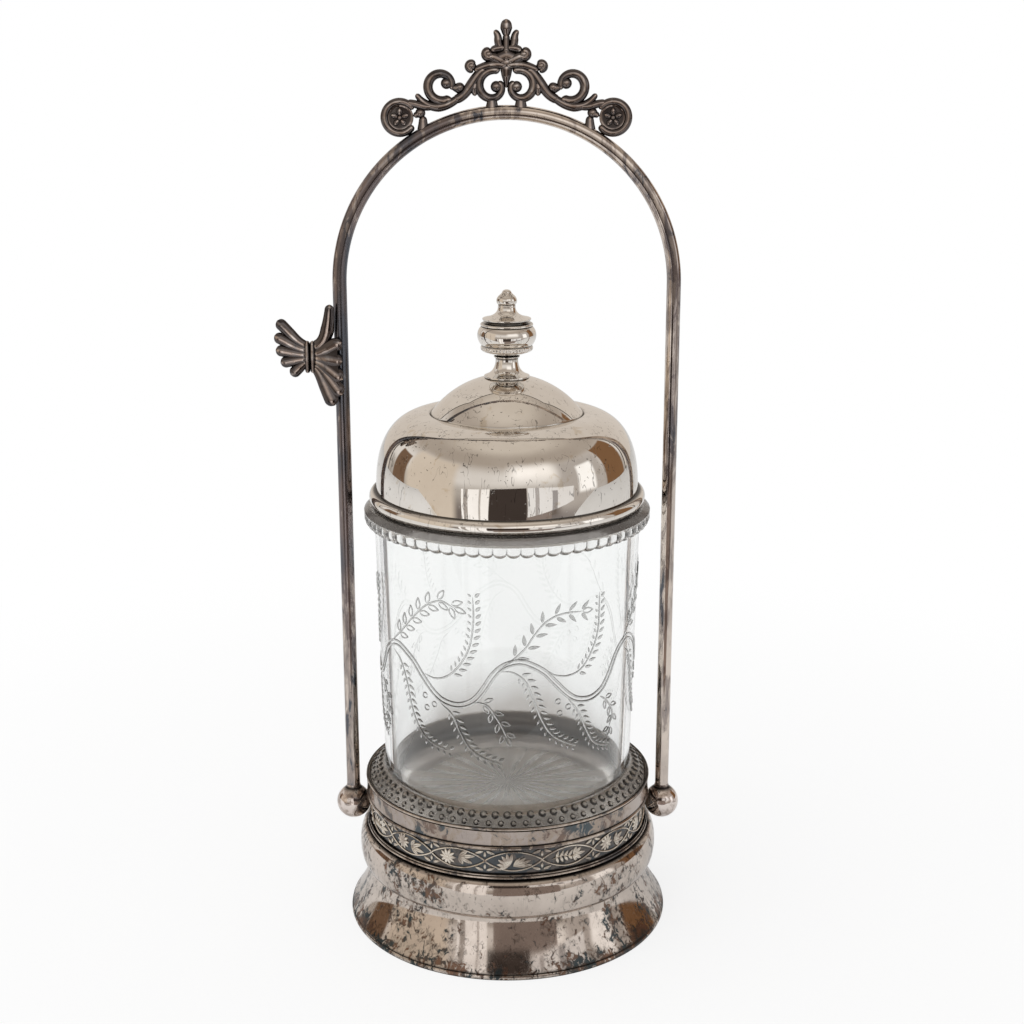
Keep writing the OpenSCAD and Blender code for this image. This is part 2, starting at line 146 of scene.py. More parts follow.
def show(tree, shader):
    add(tree, "ShaderNodeOutputMaterial", {"Surface": shader.outputs[0]})


# %% [markdown]
# ## Light and floor
# Polished metal shows whatever stands round it, so the studio matters as much as the metal. A pale sweep hangs
# behind the castor, with a dark seam along its edge, and the room in front has a warm ceiling, windows and some
# wood. These are painted on the world by direction, at about the strength of white paper. What stands close in
# front, a window, a doorway and a curtain, is a row of upright cards that only reflections see. The camera itself
# sees plain white, and a wide soft lamp overhead gives the soft shadow at the foot.

# %% Studio world
world = bpy.data.worlds.new("studio")
bpy.context.scene.world = world
world.use_nodes = True
sky = world.node_tree
sky.nodes.clear()
toward = add(sky, "ShaderNodeSeparateXYZ", {0: add(sky, "ShaderNodeTexCoord").outputs["Generated"]}).outputs
behind = maths(sky, "MAXIMUM", toward[1], 0.02)
SWEEP_HALF_WIDTH = 1.25
SWEEP_HEIGHT = 2.0


def out_on_sweep(reach, size):
    """How far out a direction meets the sweep, as a share of its size."""
    return maths(sky, "DIVIDE", maths(sky, "DIVIDE", reach, behind), size)


sweep_edge = maths(sky, "MAXIMUM", out_on_sweep(maths(sky, "ABSOLUTE", toward[0]), SWEEP_HALF_WIDTH),
                   out_on_sweep(toward[2], SWEEP_HEIGHT))
in_sweep = falling(sky, sweep_edge, 1.0, 1.02)
in_seam = times(sky, between(sky, sweep_edge, 1.0, 1.01), falling(sky, sweep_edge, 1.045, 1.065))

# %% Room in front
TO_DEGREES = 180 / math.pi
turn = times(sky, maths(sky, "ARCTAN2", toward[0], times(sky, toward[1], -1.0)), TO_DEGREES)
rise = times(sky, maths(sky, "ARCSINE", toward[2]), TO_DEGREES)


def within(value, low, high, soft):
    return times(sky, between(sky, value, low - soft, low + soft), falling(sky, value, high - soft, high + soft))


ROOM_BANDS = [
    # from and to, in degrees above the horizon, and the colour from there up
    (-14.0, 2.0, (0.52, 0.48, 0.44)),
    (2.0, 14.0, (0.86, 0.83, 0.8)),
    (20.0, 42.0, (0.48, 0.42, 0.365)),
    (50.0, 75.0, (0.7, 0.635, 0.56)),
]
ROOM_PANELS = [
    # left, right, low and high in degrees, softness, colour
    (-98, -46, -20, 34, 4, (0.76, 0.67, 0.57)),
    (-118, -100, -12, 22, 1, (0.2, 0.125, 0.08)),
    (46, 96, -14, 34, 5, (0.55, 0.51, 0.48)),
    (97, 124, -8, 36, 1, (0.24, 0.13, 0.065)),
    (36, 92, -55, -17, 4, (0.3, 0.28, 0.285)),
    (66, 84, -4, 24, 2, (1.3, 1.3, 1.3)),
    (2, 46, 17, 38, 9, (1.25, 1.22, 1.19)),
]
room = (0.2, 0.17, 0.155)
for low, high, paint in ROOM_BANDS:
    room = blend(sky, between(sky, rise, low, high), room, paint)
for left, right_side, low, high, soft, paint in ROOM_PANELS:
    in_panel = times(sky, within(turn, left, right_side, soft), within(rise, low, high, soft))
    room = blend(sky, in_panel, room, paint)
print("room panels:", len(ROOM_PANELS))

# %% What each kind of ray sees
WHITE, NEAR_WHITE, SOFT_FILL = (1.0, 1.0, 1.0), (0.97, 0.97, 0.97), (0.62, 0.62, 0.62)
SWEEP_PAINT, SEAM_PAINT = (0.72, 0.66, 0.6), (0.04, 0.035, 0.03)
rays = add(sky, "ShaderNodeLightPath").outputs
sweep_seen = blend(sky, rays["Is Transmission Ray"], SWEEP_PAINT, NEAR_WHITE)
studio = blend(sky, in_sweep, room, sweep_seen)
studio = blend(sky, in_seam, studio, SEAM_PAINT)
looks_forward = falling(sky, toward[1], -0.45, -0.15)
through_glass = times(sky, rays["Is Transmission Ray"], looks_forward)
studio = blend(sky, through_glass, studio, NEAR_WHITE)
seen = blend(sky, rays["Is Diffuse Ray"], studio, SOFT_FILL)
seen = blend(sky, rays["Is Camera Ray"], seen, WHITE)
sky_light = add(sky, "ShaderNodeBackground", {"Color": seen, "Strength": 1.0})
add(sky, "ShaderNodeOutputWorld", {"Surface": sky_light.outputs[0]})

# %% Cards in front
CARD_Y, CARD_STEP = -0.2, 0.0005
CARDS = [
    # name, left, right, low and high edge in metres, colour
    ("low_dark_card", -0.035, 0.14, 0.0, 0.104, (0.3, 0.245, 0.22)),
    ("window_card", -0.144, -0.051, 0.0, 0.178, (1.2, 1.18, 1.17)),
    ("window_bar_wide", -0.134, -0.116, 0.0, 0.178, (0.45, 0.41, 0.38)),
    ("window_bar_fine", -0.079, -0.073, 0.0, 0.178, (0.6, 0.56, 0.53)),
    ("doorway_card", -0.049, 0.054, 0.096, 0.178, (0.06, 0.046, 0.04)),
    ("curtain_card", 0.057, 0.3, 0.105, 0.178, (0.95, 0.94, 0.94)),
    ("curtain_fold", 0.079, 0.091, 0.105, 0.178, (0.5, 0.47, 0.46)),
    ("curtain_gap", 0.139, 0.165, 0.105, 0.166, (0.42, 0.4, 0.4)),
]


def flat_sheet(name, corners, finish):
    mesh = bpy.data.meshes.new(name)
    mesh.from_pydata(corners, [], [(0, 1, 2, 3)])
    mesh.materials.append(finish)
    return put_in_scene(name, mesh)


for layer, (name, left, right_side, low, high, paint) in enumerate(CARDS):
    y = CARD_Y + CARD_STEP * layer
    card_paint, tree = new_finish(name)
    show(tree, add(tree, "ShaderNodeEmission", {"Color": paint, "Strength": 1.0}))
    card = flat_sheet(name, [(left, y, low), (right_side, y, low), (right_side, y, high), (left, y, high)],
                      card_paint)
    card.visible_camera = card.visible_diffuse = card.visible_shadow = card.visible_transmission = False
print("cards:", len(CARDS))

# %% Lamp
LAMP_PLACE = Vector((-0.35, -0.3, 1.5))
LAMP_SIZE, LAMP_POWER = 1.4, 9.0
lamp = bpy.data.lights.new("soft_top_lamp", "AREA")
lamp.shape, lamp.size, lamp.energy = "DISK", LAMP_SIZE, LAMP_POWER
lamp_object = put_in_scene("soft_top_lamp", lamp)
lamp_object.location = LAMP_PLACE
lamp_object.rotation_euler = (-LAMP_PLACE).to_track_quat("-Z", "Y").to_euler()
lamp_object.visible_glossy = lamp_object.visible_transmission = False
print("lamp at", [round(x, 2) for x in LAMP_PLACE])

# %% Table
TABLE_FRONT, TABLE_BACK, TABLE_HALF_WIDTH = -0.3, 3.0, 2.0
SHADOW_NEAR, SHADOW_FAR, SHADOW_KEPT = 0.12, 0.42, 0.22
PAPER_GRAIN = 900.0
table_top, top = new_finish("pale_table")
paths = add(top, "ShaderNodeLightPath").outputs
shown_white = maths(top, "ADD", paths["Is Camera Ray"], paths["Is Transmission Ray"], clamp=True)
on_table = add(top, "ShaderNodeTexCoord").outputs["Object"]
from_castor = add(top, "ShaderNodeVectorMath", {0: on_table}, operation="LENGTH").outputs["Value"]
plain_share = between(top, from_castor, SHADOW_NEAR, SHADOW_FAR, 1 - SHADOW_KEPT, 1.0)
paper_colour = blend(top, noise(top, on_table, PAPER_GRAIN), (0.93, 0.93, 0.93), NEAR_WHITE)
paper = add(top, "ShaderNodeBsdfDiffuse", {"Color": paper_colour})
glow = add(top, "ShaderNodeEmission", {"Color": WHITE, "Strength": 1.0})
show(top, add(top, "ShaderNodeMixShader", {0: times(top, shown_white, plain_share), 1: paper.outputs[0],
                                           2: glow.outputs[0]}))
table = flat_sheet("table", [(-TABLE_HALF_WIDTH, TABLE_FRONT, 0), (TABLE_HALF_WIDTH, TABLE_FRONT, 0),
                             (TABLE_HALF_WIDTH, TABLE_BACK, 0), (-TABLE_HALF_WIDTH, TABLE_BACK, 0)], table_top)
print("table from", TABLE_FRONT, "to", TABLE_BACK)

# %% [markdown]
# ## Wear as shader groups
# Plate does not tarnish evenly. It blooms in branching patches with a coloured film at their edges, it is
# peppered with pits, and its polish is cloudy. Each of these is a shader group with named inputs, built once, so
# that the lid, the foot, the rod and the castings share them with their own values.

# %% Group helpers
def new_group(name, numbers, results):
    """A group that takes a place and some numbers, and gives masks and values."""
    tree = bpy.data.node_groups.new(name, "ShaderNodeTree")
    tree.interface.new_socket("Place", in_out="INPUT", socket_type="NodeSocketVector")
    for label in numbers:
        tree.interface.new_socket(label, in_out="INPUT", socket_type="NodeSocketFloat")
    for label in results:
        tree.interface.new_socket(label, in_out="OUTPUT", socket_type="NodeSocketFloat")
    return tree, tree.nodes.new("NodeGroupInput").outputs, tree.nodes.new("NodeGroupOutput").inputs


def give(tree, outputs, **values):
    for label, value in values.items():
        tree.links.new(value, outputs[label])


def placed(tree, group, inputs):
    """What a group gives in a finish, with the finish's own values."""
    return add(tree, "ShaderNodeGroup", inputs, node_tree=group).outputs


# %% Tarnish bloom
FILM_REACH = 0.08
bloom, given, results = new_group("tarnish_bloom", ["Scale", "Spread", "Softness", "Bias", "Grain"],
                                  ["Mask", "Film", "Hue"])
fine = noise(bloom, given["Place"], given["Scale"], given["Grain"], 0.62, 0.7)
broad = noise(bloom, given["Place"], times(bloom, given["Scale"], 0.2), 2.0)
hue = noise(bloom, given["Place"], times(bloom, given["Scale"], 0.45), 3.0)
growth = plus(bloom, times(bloom, fine, 0.62), times(bloom, broad, 0.5))
growth = plus(bloom, growth, given["Bias"])
mask = between(bloom, growth, given["Spread"], plus(bloom, given["Spread"], given["Softness"]))
halo = between(bloom, growth, maths(bloom, "SUBTRACT", given["Spread"], FILM_REACH), given["Spread"])
film = maths(bloom, "SUBTRACT", halo, mask, clamp=True)
give(bloom, results, Mask=mask, Film=film, Hue=between(bloom, hue, 0.35, 0.65))
print("group:", bloom.name)

# %% Fine marks
PIT_WANDER = 0.003
marks, given, results = new_group("fine_marks", ["Pit Scale"], ["Pits", "Scratches", "Height"])
wander = add(marks, "ShaderNodeTexNoise", {"Vector": given["Place"], "Scale": given["Pit Scale"], "Detail": 3.0})
bent = add(marks, "ShaderNodeVectorMath", {0: wander.outputs["Color"], 3: PIT_WANDER}, operation="SCALE").outputs[0]
pit_place = add(marks, "ShaderNodeVectorMath", {0: given["Place"], 1: bent}, operation="ADD").outputs[0]
cells = add(marks, "ShaderNodeTexVoronoi", {"Vector": pit_place, "Scale": given["Pit Scale"]})
chosen = add(marks, "ShaderNodeSeparateColor", {0: cells.outputs["Color"]}).outputs[0]
pits = times(marks, falling(marks, cells.outputs["Distance"], 0.1, 0.26), between(marks, chosen, 0.78, 0.84))
stretched = add(marks, "ShaderNodeMapping", {"Vector": given["Place"], "Rotation": (0.5, 0.9, 0.3),
                                             "Scale": (1.0, 1.0, 0.12)}).outputs[0]
line_field = noise(marks, stretched, times(marks, given["Pit Scale"], 0.5), 2.0)
line_gap = maths(marks, "ABSOLUTE", maths(marks, "SUBTRACT", line_field, 0.5))
scuff_field = noise(marks, given["Place"], times(marks, given["Pit Scale"], 0.3), 1.0)
scratches = times(marks, falling(marks, line_gap, 0.004, 0.016), between(marks, scuff_field, 0.5, 0.58))
depth = plus(marks, times(marks, pits, -1.0), times(marks, scratches, -0.3))
give(marks, results, Pits=pits, Scratches=scratches, Height=depth)
print("group:", marks.name)

# %% Cloudy polish
cloud, given, results = new_group("cloudy_polish", ["Scale"], ["Cloud", "Swell"])
haze = noise(cloud, given["Place"], given["Scale"], 6.0, 0.6)
swell = noise(cloud, given["Place"], times(cloud, given["Scale"], 0.6), 1.0)
give(cloud, results, Cloud=between(cloud, haze, 0.3, 0.7), Swell=swell)
print("group:", cloud.name)

# %% [markdown]
# ## Metal finishes
# One recipe covers all of the plate: a clean colour that drifts a little, a tarnish colour inside the bloom, a
# film at its edge, a dark colour where the mesh's shine mark is low, and a polish that is dull where the tarnish
# sits. The pieces differ only in their values. The mark called shine is stored on each mesh point. On the turned
# and embossed pieces it is 1 on what a cloth reaches and 0 in the seams and grooves, where dirt sits. On the
# castings it paints light instead: a narrow painted highlight along each ridge and painted shade on the flanks.
# Hands and damp are uneven too, so the foot and the rod get more or less of the bloom by place.

# %% Where tarnish grows
FRONT_NEAR, FRONT_FAR = 0.008, 0.034
SIDE_REACH = 0.05
HAUNCH_NEAR, HAUNCH_FAR, HAUNCH_LOW, HAUNCH_HIGH = 0.018, 0.036, 0.165, 0.2


def uneven_bias(tree, place, low_bias=None, rubbed_front=0.0, rubbed_right=0.0, dark_haunch=0.0):
    """What is added to the bloom low down, in the middle of the front, to one side and on the arch's haunches."""
    sideways, depth_in, height = add(tree, "ShaderNodeSeparateXYZ", {0: place}).outputs
    off_middle = maths(tree, "ABSOLUTE", sideways)
    bias = 0.0
    if low_bias:
        low, high, amount = low_bias
        bias = between(tree, height, low * MM, high * MM, amount, 0.0)
    if rubbed_front:
        near_middle = between(tree, off_middle, FRONT_NEAR, FRONT_FAR, rubbed_front, 0.0)
        in_front = maths(tree, "LESS_THAN", depth_in, 0.0)
        bias = maths(tree, "SUBTRACT", bias, times(tree, near_middle, in_front))
    if rubbed_right:
        bias = plus(tree, bias, between(tree, sideways, -SIDE_REACH, SIDE_REACH, rubbed_right, -rubbed_right))
    if dark_haunch:
        off_top = between(tree, off_middle, HAUNCH_NEAR, HAUNCH_FAR, -0.5 * dark_haunch, dark_haunch)
        bias = plus(tree, bias, times(tree, off_top, between(tree, height, HAUNCH_LOW, HAUNCH_HIGH)))
    return bias


# %% Plate recipe
BLACK_DIRT = (0.025, 0.022, 0.02)
POLISH_SCALE = 70.0
BUMP_REACH = 0.001


def plate(name, clean, clean_drift, tarnish, tarnish_drift, film_tint, scale, spread, softness, gloss, dull,
          dirt=BLACK_DIRT, pit_scale=900.0, swell=0.0, pit_share=0.6, pit_depth=0.01, scratch_share=0.2,
          stretch=1.0, grain=8.0, haze=0.06, uneven=None, marked=True, dirt_dull=0.35, metallic=1.0):
    made, tree = new_finish(name)
    place = add(tree, "ShaderNodeTexCoord").outputs["Object"]
    streaked = add(tree, "ShaderNodeMapping", {"Vector": place, "Scale": (1.0, 1.0, stretch)}).outputs[0]
    bias = uneven_bias(tree, place, **uneven) if uneven else 0.0
    patch = placed(tree, bloom, {"Place": streaked, "Scale": scale, "Spread": spread, "Softness": softness,
                                 "Bias": bias, "Grain": grain})
    worn = placed(tree, marks, {"Place": place, "Pit Scale": pit_scale})
    polish = placed(tree, cloud, {"Place": place, "Scale": POLISH_SCALE})

    base = blend(tree, polish["Cloud"], clean, clean_drift)
    base = blend(tree, patch["Film"], base, film_tint)
    base = blend(tree, patch["Mask"], base, blend(tree, patch["Hue"], tarnish, tarnish_drift))
    base = blend(tree, times(tree, worn["Pits"], pit_share), base, dirt)
    base = blend(tree, times(tree, worn["Scratches"], scratch_share), base, dirt)
    rough = between(tree, patch["Mask"], 0.0, 1.0, gloss, dull, smooth=False)
    rough = plus(tree, rough, times(tree, polish["Cloud"], haze))
    if marked:
        # The dark colour here is dirt on the turned and embossed pieces, and painted shade on the castings' flanks.
        shine = add(tree, "ShaderNodeAttribute", attribute_name="shine").outputs["Fac"]
        grime = maths(tree, "SUBTRACT", 1.0, shine, clamp=True)
        base = blend(tree, grime, base, dirt)
        rough = plus(tree, rough, times(tree, grime, dirt_dull))
    relief = plus(tree, times(tree, worn["Height"], pit_depth), times(tree, polish["Swell"], swell))
    bump = add(tree, "ShaderNodeBump", {"Height": relief, "Strength": 1.0, "Distance": BUMP_REACH})
    show(tree, add(tree, "ShaderNodeBsdfPrincipled", {"Base Color": base, "Roughness": rough, "Metallic": metallic,
                                                      "Normal": bump.outputs[0]}))
    print("finish:", name)
    return made


# %% Silver plate
lid_silver = plate("bright_silver_plate", (0.8, 0.76, 0.71), (0.73, 0.685, 0.63), (0.46, 0.41, 0.36),
                   (0.38, 0.35, 0.32), (0.66, 0.59, 0.5), scale=260.0, spread=0.7, softness=0.08, gloss=0.02,
                   dull=0.14, pit_scale=800.0, swell=0.35, pit_share=0.8, haze=0.02, scratch_share=0.55)
foot_silver = plate("worn_silver_plate", (0.64, 0.565, 0.505), (0.5, 0.435, 0.385), (0.056, 0.071, 0.076),
                    (0.2, 0.122, 0.086), (0.36, 0.32, 0.285), scale=640.0, spread=0.615, softness=0.02, gloss=0.05,
                    dull=0.24, swell=0.25, stretch=0.75, grain=3.0,
                    uneven={"low_bias": (0.5, 8.0, 0.09), "rubbed_front": 0.06})
collar_silver = plate("blued_silver_plate", (0.48, 0.415, 0.37), (0.37, 0.32, 0.295), (0.09, 0.11, 0.12),
                      (0.22, 0.16, 0.13), (0.36, 0.295, 0.245), scale=260.0, spread=0.575, softness=0.05, gloss=0.1,
                      dull=0.26, swell=0.2)
wire_silver = plate("rubbed_wire_silver", (0.62, 0.54, 0.47), (0.46, 0.4, 0.35), (0.12, 0.115, 0.115),
                    (0.22, 0.17, 0.145), (0.38, 0.32, 0.27), scale=380.0, spread=0.58, softness=0.06, gloss=0.12,
                    dull=0.28)
vine_metal = plate("rubbed_relief", (0.88, 0.81, 0.71), (0.7, 0.64, 0.555), (0.2, 0.185, 0.175),
                   (0.3, 0.25, 0.215), (0.5, 0.43, 0.37), scale=380.0, spread=0.655, softness=0.1, gloss=0.2,
                   dull=0.32, pit_share=0.2)

# %% Rod, balls and castings
rod_metal = plate("tarnished_rod", (0.72, 0.635, 0.56), (0.52, 0.455, 0.41), (0.1, 0.108, 0.125),
                  (0.21, 0.172, 0.165), (0.34, 0.29, 0.265), scale=330.0, spread=0.585, softness=0.05, gloss=0.05,
                  dull=0.14, swell=0.15, stretch=0.25,
                  uneven={"low_bias": (52.0, 70.0, -0.08), "rubbed_right": 0.065, "dark_haunch": 0.055})
ball_metal = plate("rubbed_ball", (0.8, 0.72, 0.67), (0.68, 0.605, 0.565), (0.14, 0.12, 0.125),
                   (0.22, 0.17, 0.15), (0.42, 0.35, 0.31), scale=330.0, spread=0.67, softness=0.06, gloss=0.03,
                   dull=0.2, haze=0.03)
# On the castings the clean colour serves mostly as a painted highlight along each ridge, and the dark dirt colour
# as painted shade on the flanks.
casting_metal = plate("oxidised_casting", (0.86, 0.77, 0.71), (0.6, 0.53, 0.49), (0.15, 0.137, 0.138),
                      (0.36, 0.255, 0.195), (0.44, 0.35, 0.3), scale=200.0, spread=0.54, softness=0.14, gloss=0.04,
                      dull=0.07, dirt=(0.04, 0.038, 0.042), pit_share=0.0, pit_depth=0.0, dirt_dull=0.02, haze=0.03,
                      swell=0.3, scratch_share=0.0)
ground_metal = plate("matted_ground", (0.1, 0.108, 0.115), (0.07, 0.076, 0.082), (0.038, 0.04, 0.043),
                     (0.11, 0.1, 0.09), (0.14, 0.125, 0.115), scale=300.0, spread=0.6, softness=0.1, gloss=0.28,
                     dull=0.4, pit_scale=2600.0, pit_depth=0.04)

# %% Metals that hardly show
hidden_silver = plate("brown_inside_plate", (0.34, 0.285, 0.235), (0.25, 0.205, 0.17), (0.14, 0.115, 0.095),
                      (0.2, 0.16, 0.13), (0.26, 0.21, 0.17), scale=120.0, spread=0.6, softness=0.12, gloss=0.5,
                      dull=0.6, pit_share=0.2, marked=False, metallic=0.0)
liner_tin = plate("satin_liner", (0.5, 0.46, 0.41), (0.42, 0.385, 0.345), (0.3, 0.27, 0.24),
                  (0.34, 0.3, 0.26), (0.42, 0.37, 0.32), scale=160.0, spread=0.64, softness=0.12, gloss=0.4,
                  dull=0.5, pit_share=0.2, marked=False, metallic=0.0)
brass = plate("turned_brass", (0.66, 0.49, 0.22), (0.54, 0.39, 0.17), (0.26, 0.18, 0.09),
              (0.3, 0.2, 0.12), (0.45, 0.3, 0.15), scale=240.0, spread=0.6, softness=0.1, gloss=0.2, dull=0.36,
              marked=False)

# %% [markdown]
# ## Glass
# The jar is pressed glass: clear on its blown wall, and softer where the mould left its texture, on the skirt,
# under the base and round the flange. These parts are greyer too, painted shade for the metal seen through them.
# Most of it lets all light through; the scallops and the flange keep a share back, which makes them milky and
# grey. The roughness comes from faint smears and the bump from slow waves. Painted shade darkens the glass where
# the mesh's shine mark is low: the outlines of the scallops, the rims of the dots, the sides of the engraving and
# a band low on the far wall; the base is darker towards its middle and along its rays. A lamp could not shine
# through it into the cup, so shadow and diffuse rays meet a clear pass instead. The engraving and the skirt's
# dots are clear from behind, so that the far side of the jar does not draw over the near side.

# %% Glass recipe
GLASS_BEND = 1.5
CLEAR_PASS = (0.96, 0.965, 0.96)


def glass(name, tint, tint_drift, grime_tint, clear, smeared, wave, wave_scale, clear_back=False,
          see_through=1.0, soft_grime=0.0):
    made, tree = new_finish(name)
    place = add(tree, "ShaderNodeTexCoord").outputs["Object"]
    polish = placed(tree, cloud, {"Place": place, "Scale": wave_scale})
    shine = add(tree, "ShaderNodeAttribute", attribute_name="shine").outputs["Fac"]
    base = blend(tree, shine, grime_tint, blend(tree, polish["Cloud"], tint, tint_drift))
    rough = between(tree, polish["Cloud"], 0.45, 1.0, clear, smeared)
    rough = plus(tree, rough, between(tree, shine, 0.0, 1.0, soft_grime, 0.0))
    bump = add(tree, "ShaderNodeBump", {"Height": polish["Swell"], "Strength": 1.0, "Distance": wave * MM})
    shader = add(tree, "ShaderNodeBsdfPrincipled", {
        "Base Color": base, "Roughness": rough, "Metallic": 0.0, "IOR": GLASS_BEND,
        "Transmission Weight": see_through, "Normal": bump.outputs[0]})
    light = add(tree, "ShaderNodeLightPath").outputs
    passing = maths(tree, "MAXIMUM", light["Is Shadow Ray"], light["Is Diffuse Ray"])
    if clear_back:
        passing = maths(tree, "MAXIMUM", passing, add(tree, "ShaderNodeNewGeometry").outputs["Backfacing"])
    clear_pass = add(tree, "ShaderNodeBsdfTransparent", {"Color": CLEAR_PASS})
    show(tree, add(tree, "ShaderNodeMixShader", {0: passing, 1: shader.outputs[0], 2: clear_pass.outputs[0]}))
    print("finish:", name)
    return made


# %% Kinds of glass
WALL_TINT, WALL_DRIFT = (0.97, 0.975, 0.97), (0.95, 0.96, 0.955)
wall_glass = glass("blown_wall", WALL_TINT, WALL_DRIFT, (0.8, 0.8, 0.78), clear=0.0, smeared=0.03, wave=0.2,
                   wave_scale=45.0)
back_glass = glass("soft_back", WALL_TINT, WALL_DRIFT, (0.3, 0.272, 0.25), clear=0.0, smeared=0.03, wave=0.2,
                   wave_scale=45.0, soft_grime=0.42)
# The tints of the base, skirt and flange are painted shade for the metal seen through them, darkest on the flange.
# The near-black marks of the scallops, engraving and dots are painted shade, and so is the engraving's grey.
star_glass = glass("rayed_base", (0.87, 0.83, 0.78), (0.76, 0.72, 0.67), (0.3, 0.27, 0.24), clear=0.28,
                   smeared=0.42, wave=0.1, wave_scale=160.0)
skirt_glass = glass("soft_skirt", (0.88, 0.81, 0.745), (0.7, 0.635, 0.58), (0.2, 0.175, 0.155), clear=0.22,
                    smeared=0.32, wave=0.1, wave_scale=160.0)
scallop_glass = glass("milky_scallops", (0.99, 0.985, 0.975), (0.96, 0.955, 0.945), (0.06, 0.057, 0.054),
                      clear=0.12, smeared=0.25, wave=0.05, wave_scale=160.0, see_through=0.85)
flange_glass = glass("grey_flange", (0.21, 0.193, 0.18), (0.15, 0.137, 0.128), (0.12, 0.11, 0.1), clear=0.2,
                     smeared=0.35, wave=0.1, wave_scale=160.0, see_through=0.45)
cut_glass = glass("engraved_glass", (0.52, 0.515, 0.51), (0.34, 0.335, 0.33), (0.004, 0.0038, 0.0036), clear=0.03,
                  smeared=0.12, wave=0.05, wave_scale=600.0, clear_back=True)
dot_glass = glass("lens_dots", (0.95, 0.91, 0.86), (0.85, 0.81, 0.76), (0.006, 0.005, 0.0045), clear=0.04,
                  smeared=0.12, wave=0.05, wave_scale=600.0, clear_back=True)

# %% Clear underside
clear_side, tree = new_finish("clear_underside")
show(tree, add(tree, "ShaderNodeBsdfTransparent"))
print("finish:", clear_side.name)

# %% [markdown]
# ## Shaping helpers
# Nearly everything here is turned on a lathe, swept along a curve or raised from a sheet. All three come down to
# a grid of points, so a heap collects grids in millimetres and becomes one mesh at the end. The same heap carries
# the shine mark for each point, then hides the plain solid and rides on its body.

# %% Curves
def bezier(p0, p1, p2, p3, steps):
    t = np.linspace(0, 1, steps + 1)[:, None]
    s = 1 - t
    p0, p1, p2, p3 = (np.array(p, float) for p in (p0, p1, p2, p3))
    return s ** 3 * p0 + 3 * s * s * t * p1 + 3 * s * t * t * p2 + t ** 3 * p3


def arc(centre, r_start, r_end, from_deg, to_deg, steps):
    """Part of a circle, or of a spiral when the two radii differ."""
    t = np.linspace(0, 1, steps + 1)
    angle = np.radians(from_deg + (to_deg - from_deg) * t)
    radius = r_start + (r_end - r_start) * t
    return np.stack([centre[0] + radius * np.cos(angle), centre[1] + radius * np.sin(angle)], 1)


def evenly(points, step, closed=False):
    """The same line with points at even steps."""
    points = np.asarray(points, float)
    if closed:
        points = np.concatenate([points, points[:1]])
    length = np.concatenate([[0], np.cumsum(np.linalg.norm(np.diff(points, axis=0), axis=1))])
    count = max(3, int(round(length[-1] / step)) + 1)
    at = np.linspace(0, length[-1], count)
    line = np.stack([np.interp(at, length, points[:, k]) for k in range(points.shape[1])], 1)
    return line[:-1] if closed else line


def through(points, step):
    """A smooth line through points, with even steps."""
    points = np.asarray(points, float)
    padded = np.concatenate([[2 * points[0] - points[1]], points, [2 * points[-1] - points[-2]]])
    pieces = []
    t = np.linspace(0, 1, 12, endpoint=False)[:, None]
    for a, b, c, d in zip(padded, padded[1:], padded[2:], padded[3:]):
        pieces.append(0.5 * (2 * b + (c - a) * t + (2 * a - 5 * b + 4 * c - d) * t ** 2
                             + (3 * b - a - 3 * c + d) * t ** 3))
    return evenly(np.concatenate(pieces + [points[-1:]]), step)


TINY = 1e-9


def left_of(path):
    """The direction to the left of a flat path, at each of its points."""
    slope = np.gradient(path, axis=0)
    slope /= np.linalg.norm(slope, axis=1)[:, None] + TINY
    return np.stack([-slope[:, 1], slope[:, 0]], 1)


# %% Soft corners
NEARLY_STRAIGHT = 0.02


def soften(points, radius, closed=False, steps=4):
    """The same profile with its corners rounded off."""
    points = [np.array(p, float) for p in points]
    count = len(points)
    line = []
    for i in range(count):
        here = points[i]
        if not closed and i in (0, count - 1):
            line.append(here)
            continue
        back, on = points[i - 1] - here, points[(i + 1) % count] - here
        back_len, on_len = np.linalg.norm(back), np.linalg.norm(on)
        if 1 + np.dot(back, on) / (back_len * on_len) < NEARLY_STRAIGHT:
            line.append(here)
            continue
        cut = min(radius, 0.45 * back_len, 0.45 * on_len)
        a, b = here + back / back_len * cut, here + on / on_len * cut
        for t in np.linspace(0, 1, steps + 1):
            line.append((1 - t) ** 2 * a + 2 * t * (1 - t) * here + t * t * b)
    return np.array(line)


def eased(points, corner, step):
    """A closed section with soft corners and even steps."""
    return evenly(soften(points, corner, closed=True), step, closed=True)


# %% Heap of grids
WELD_GAP = 1e-7


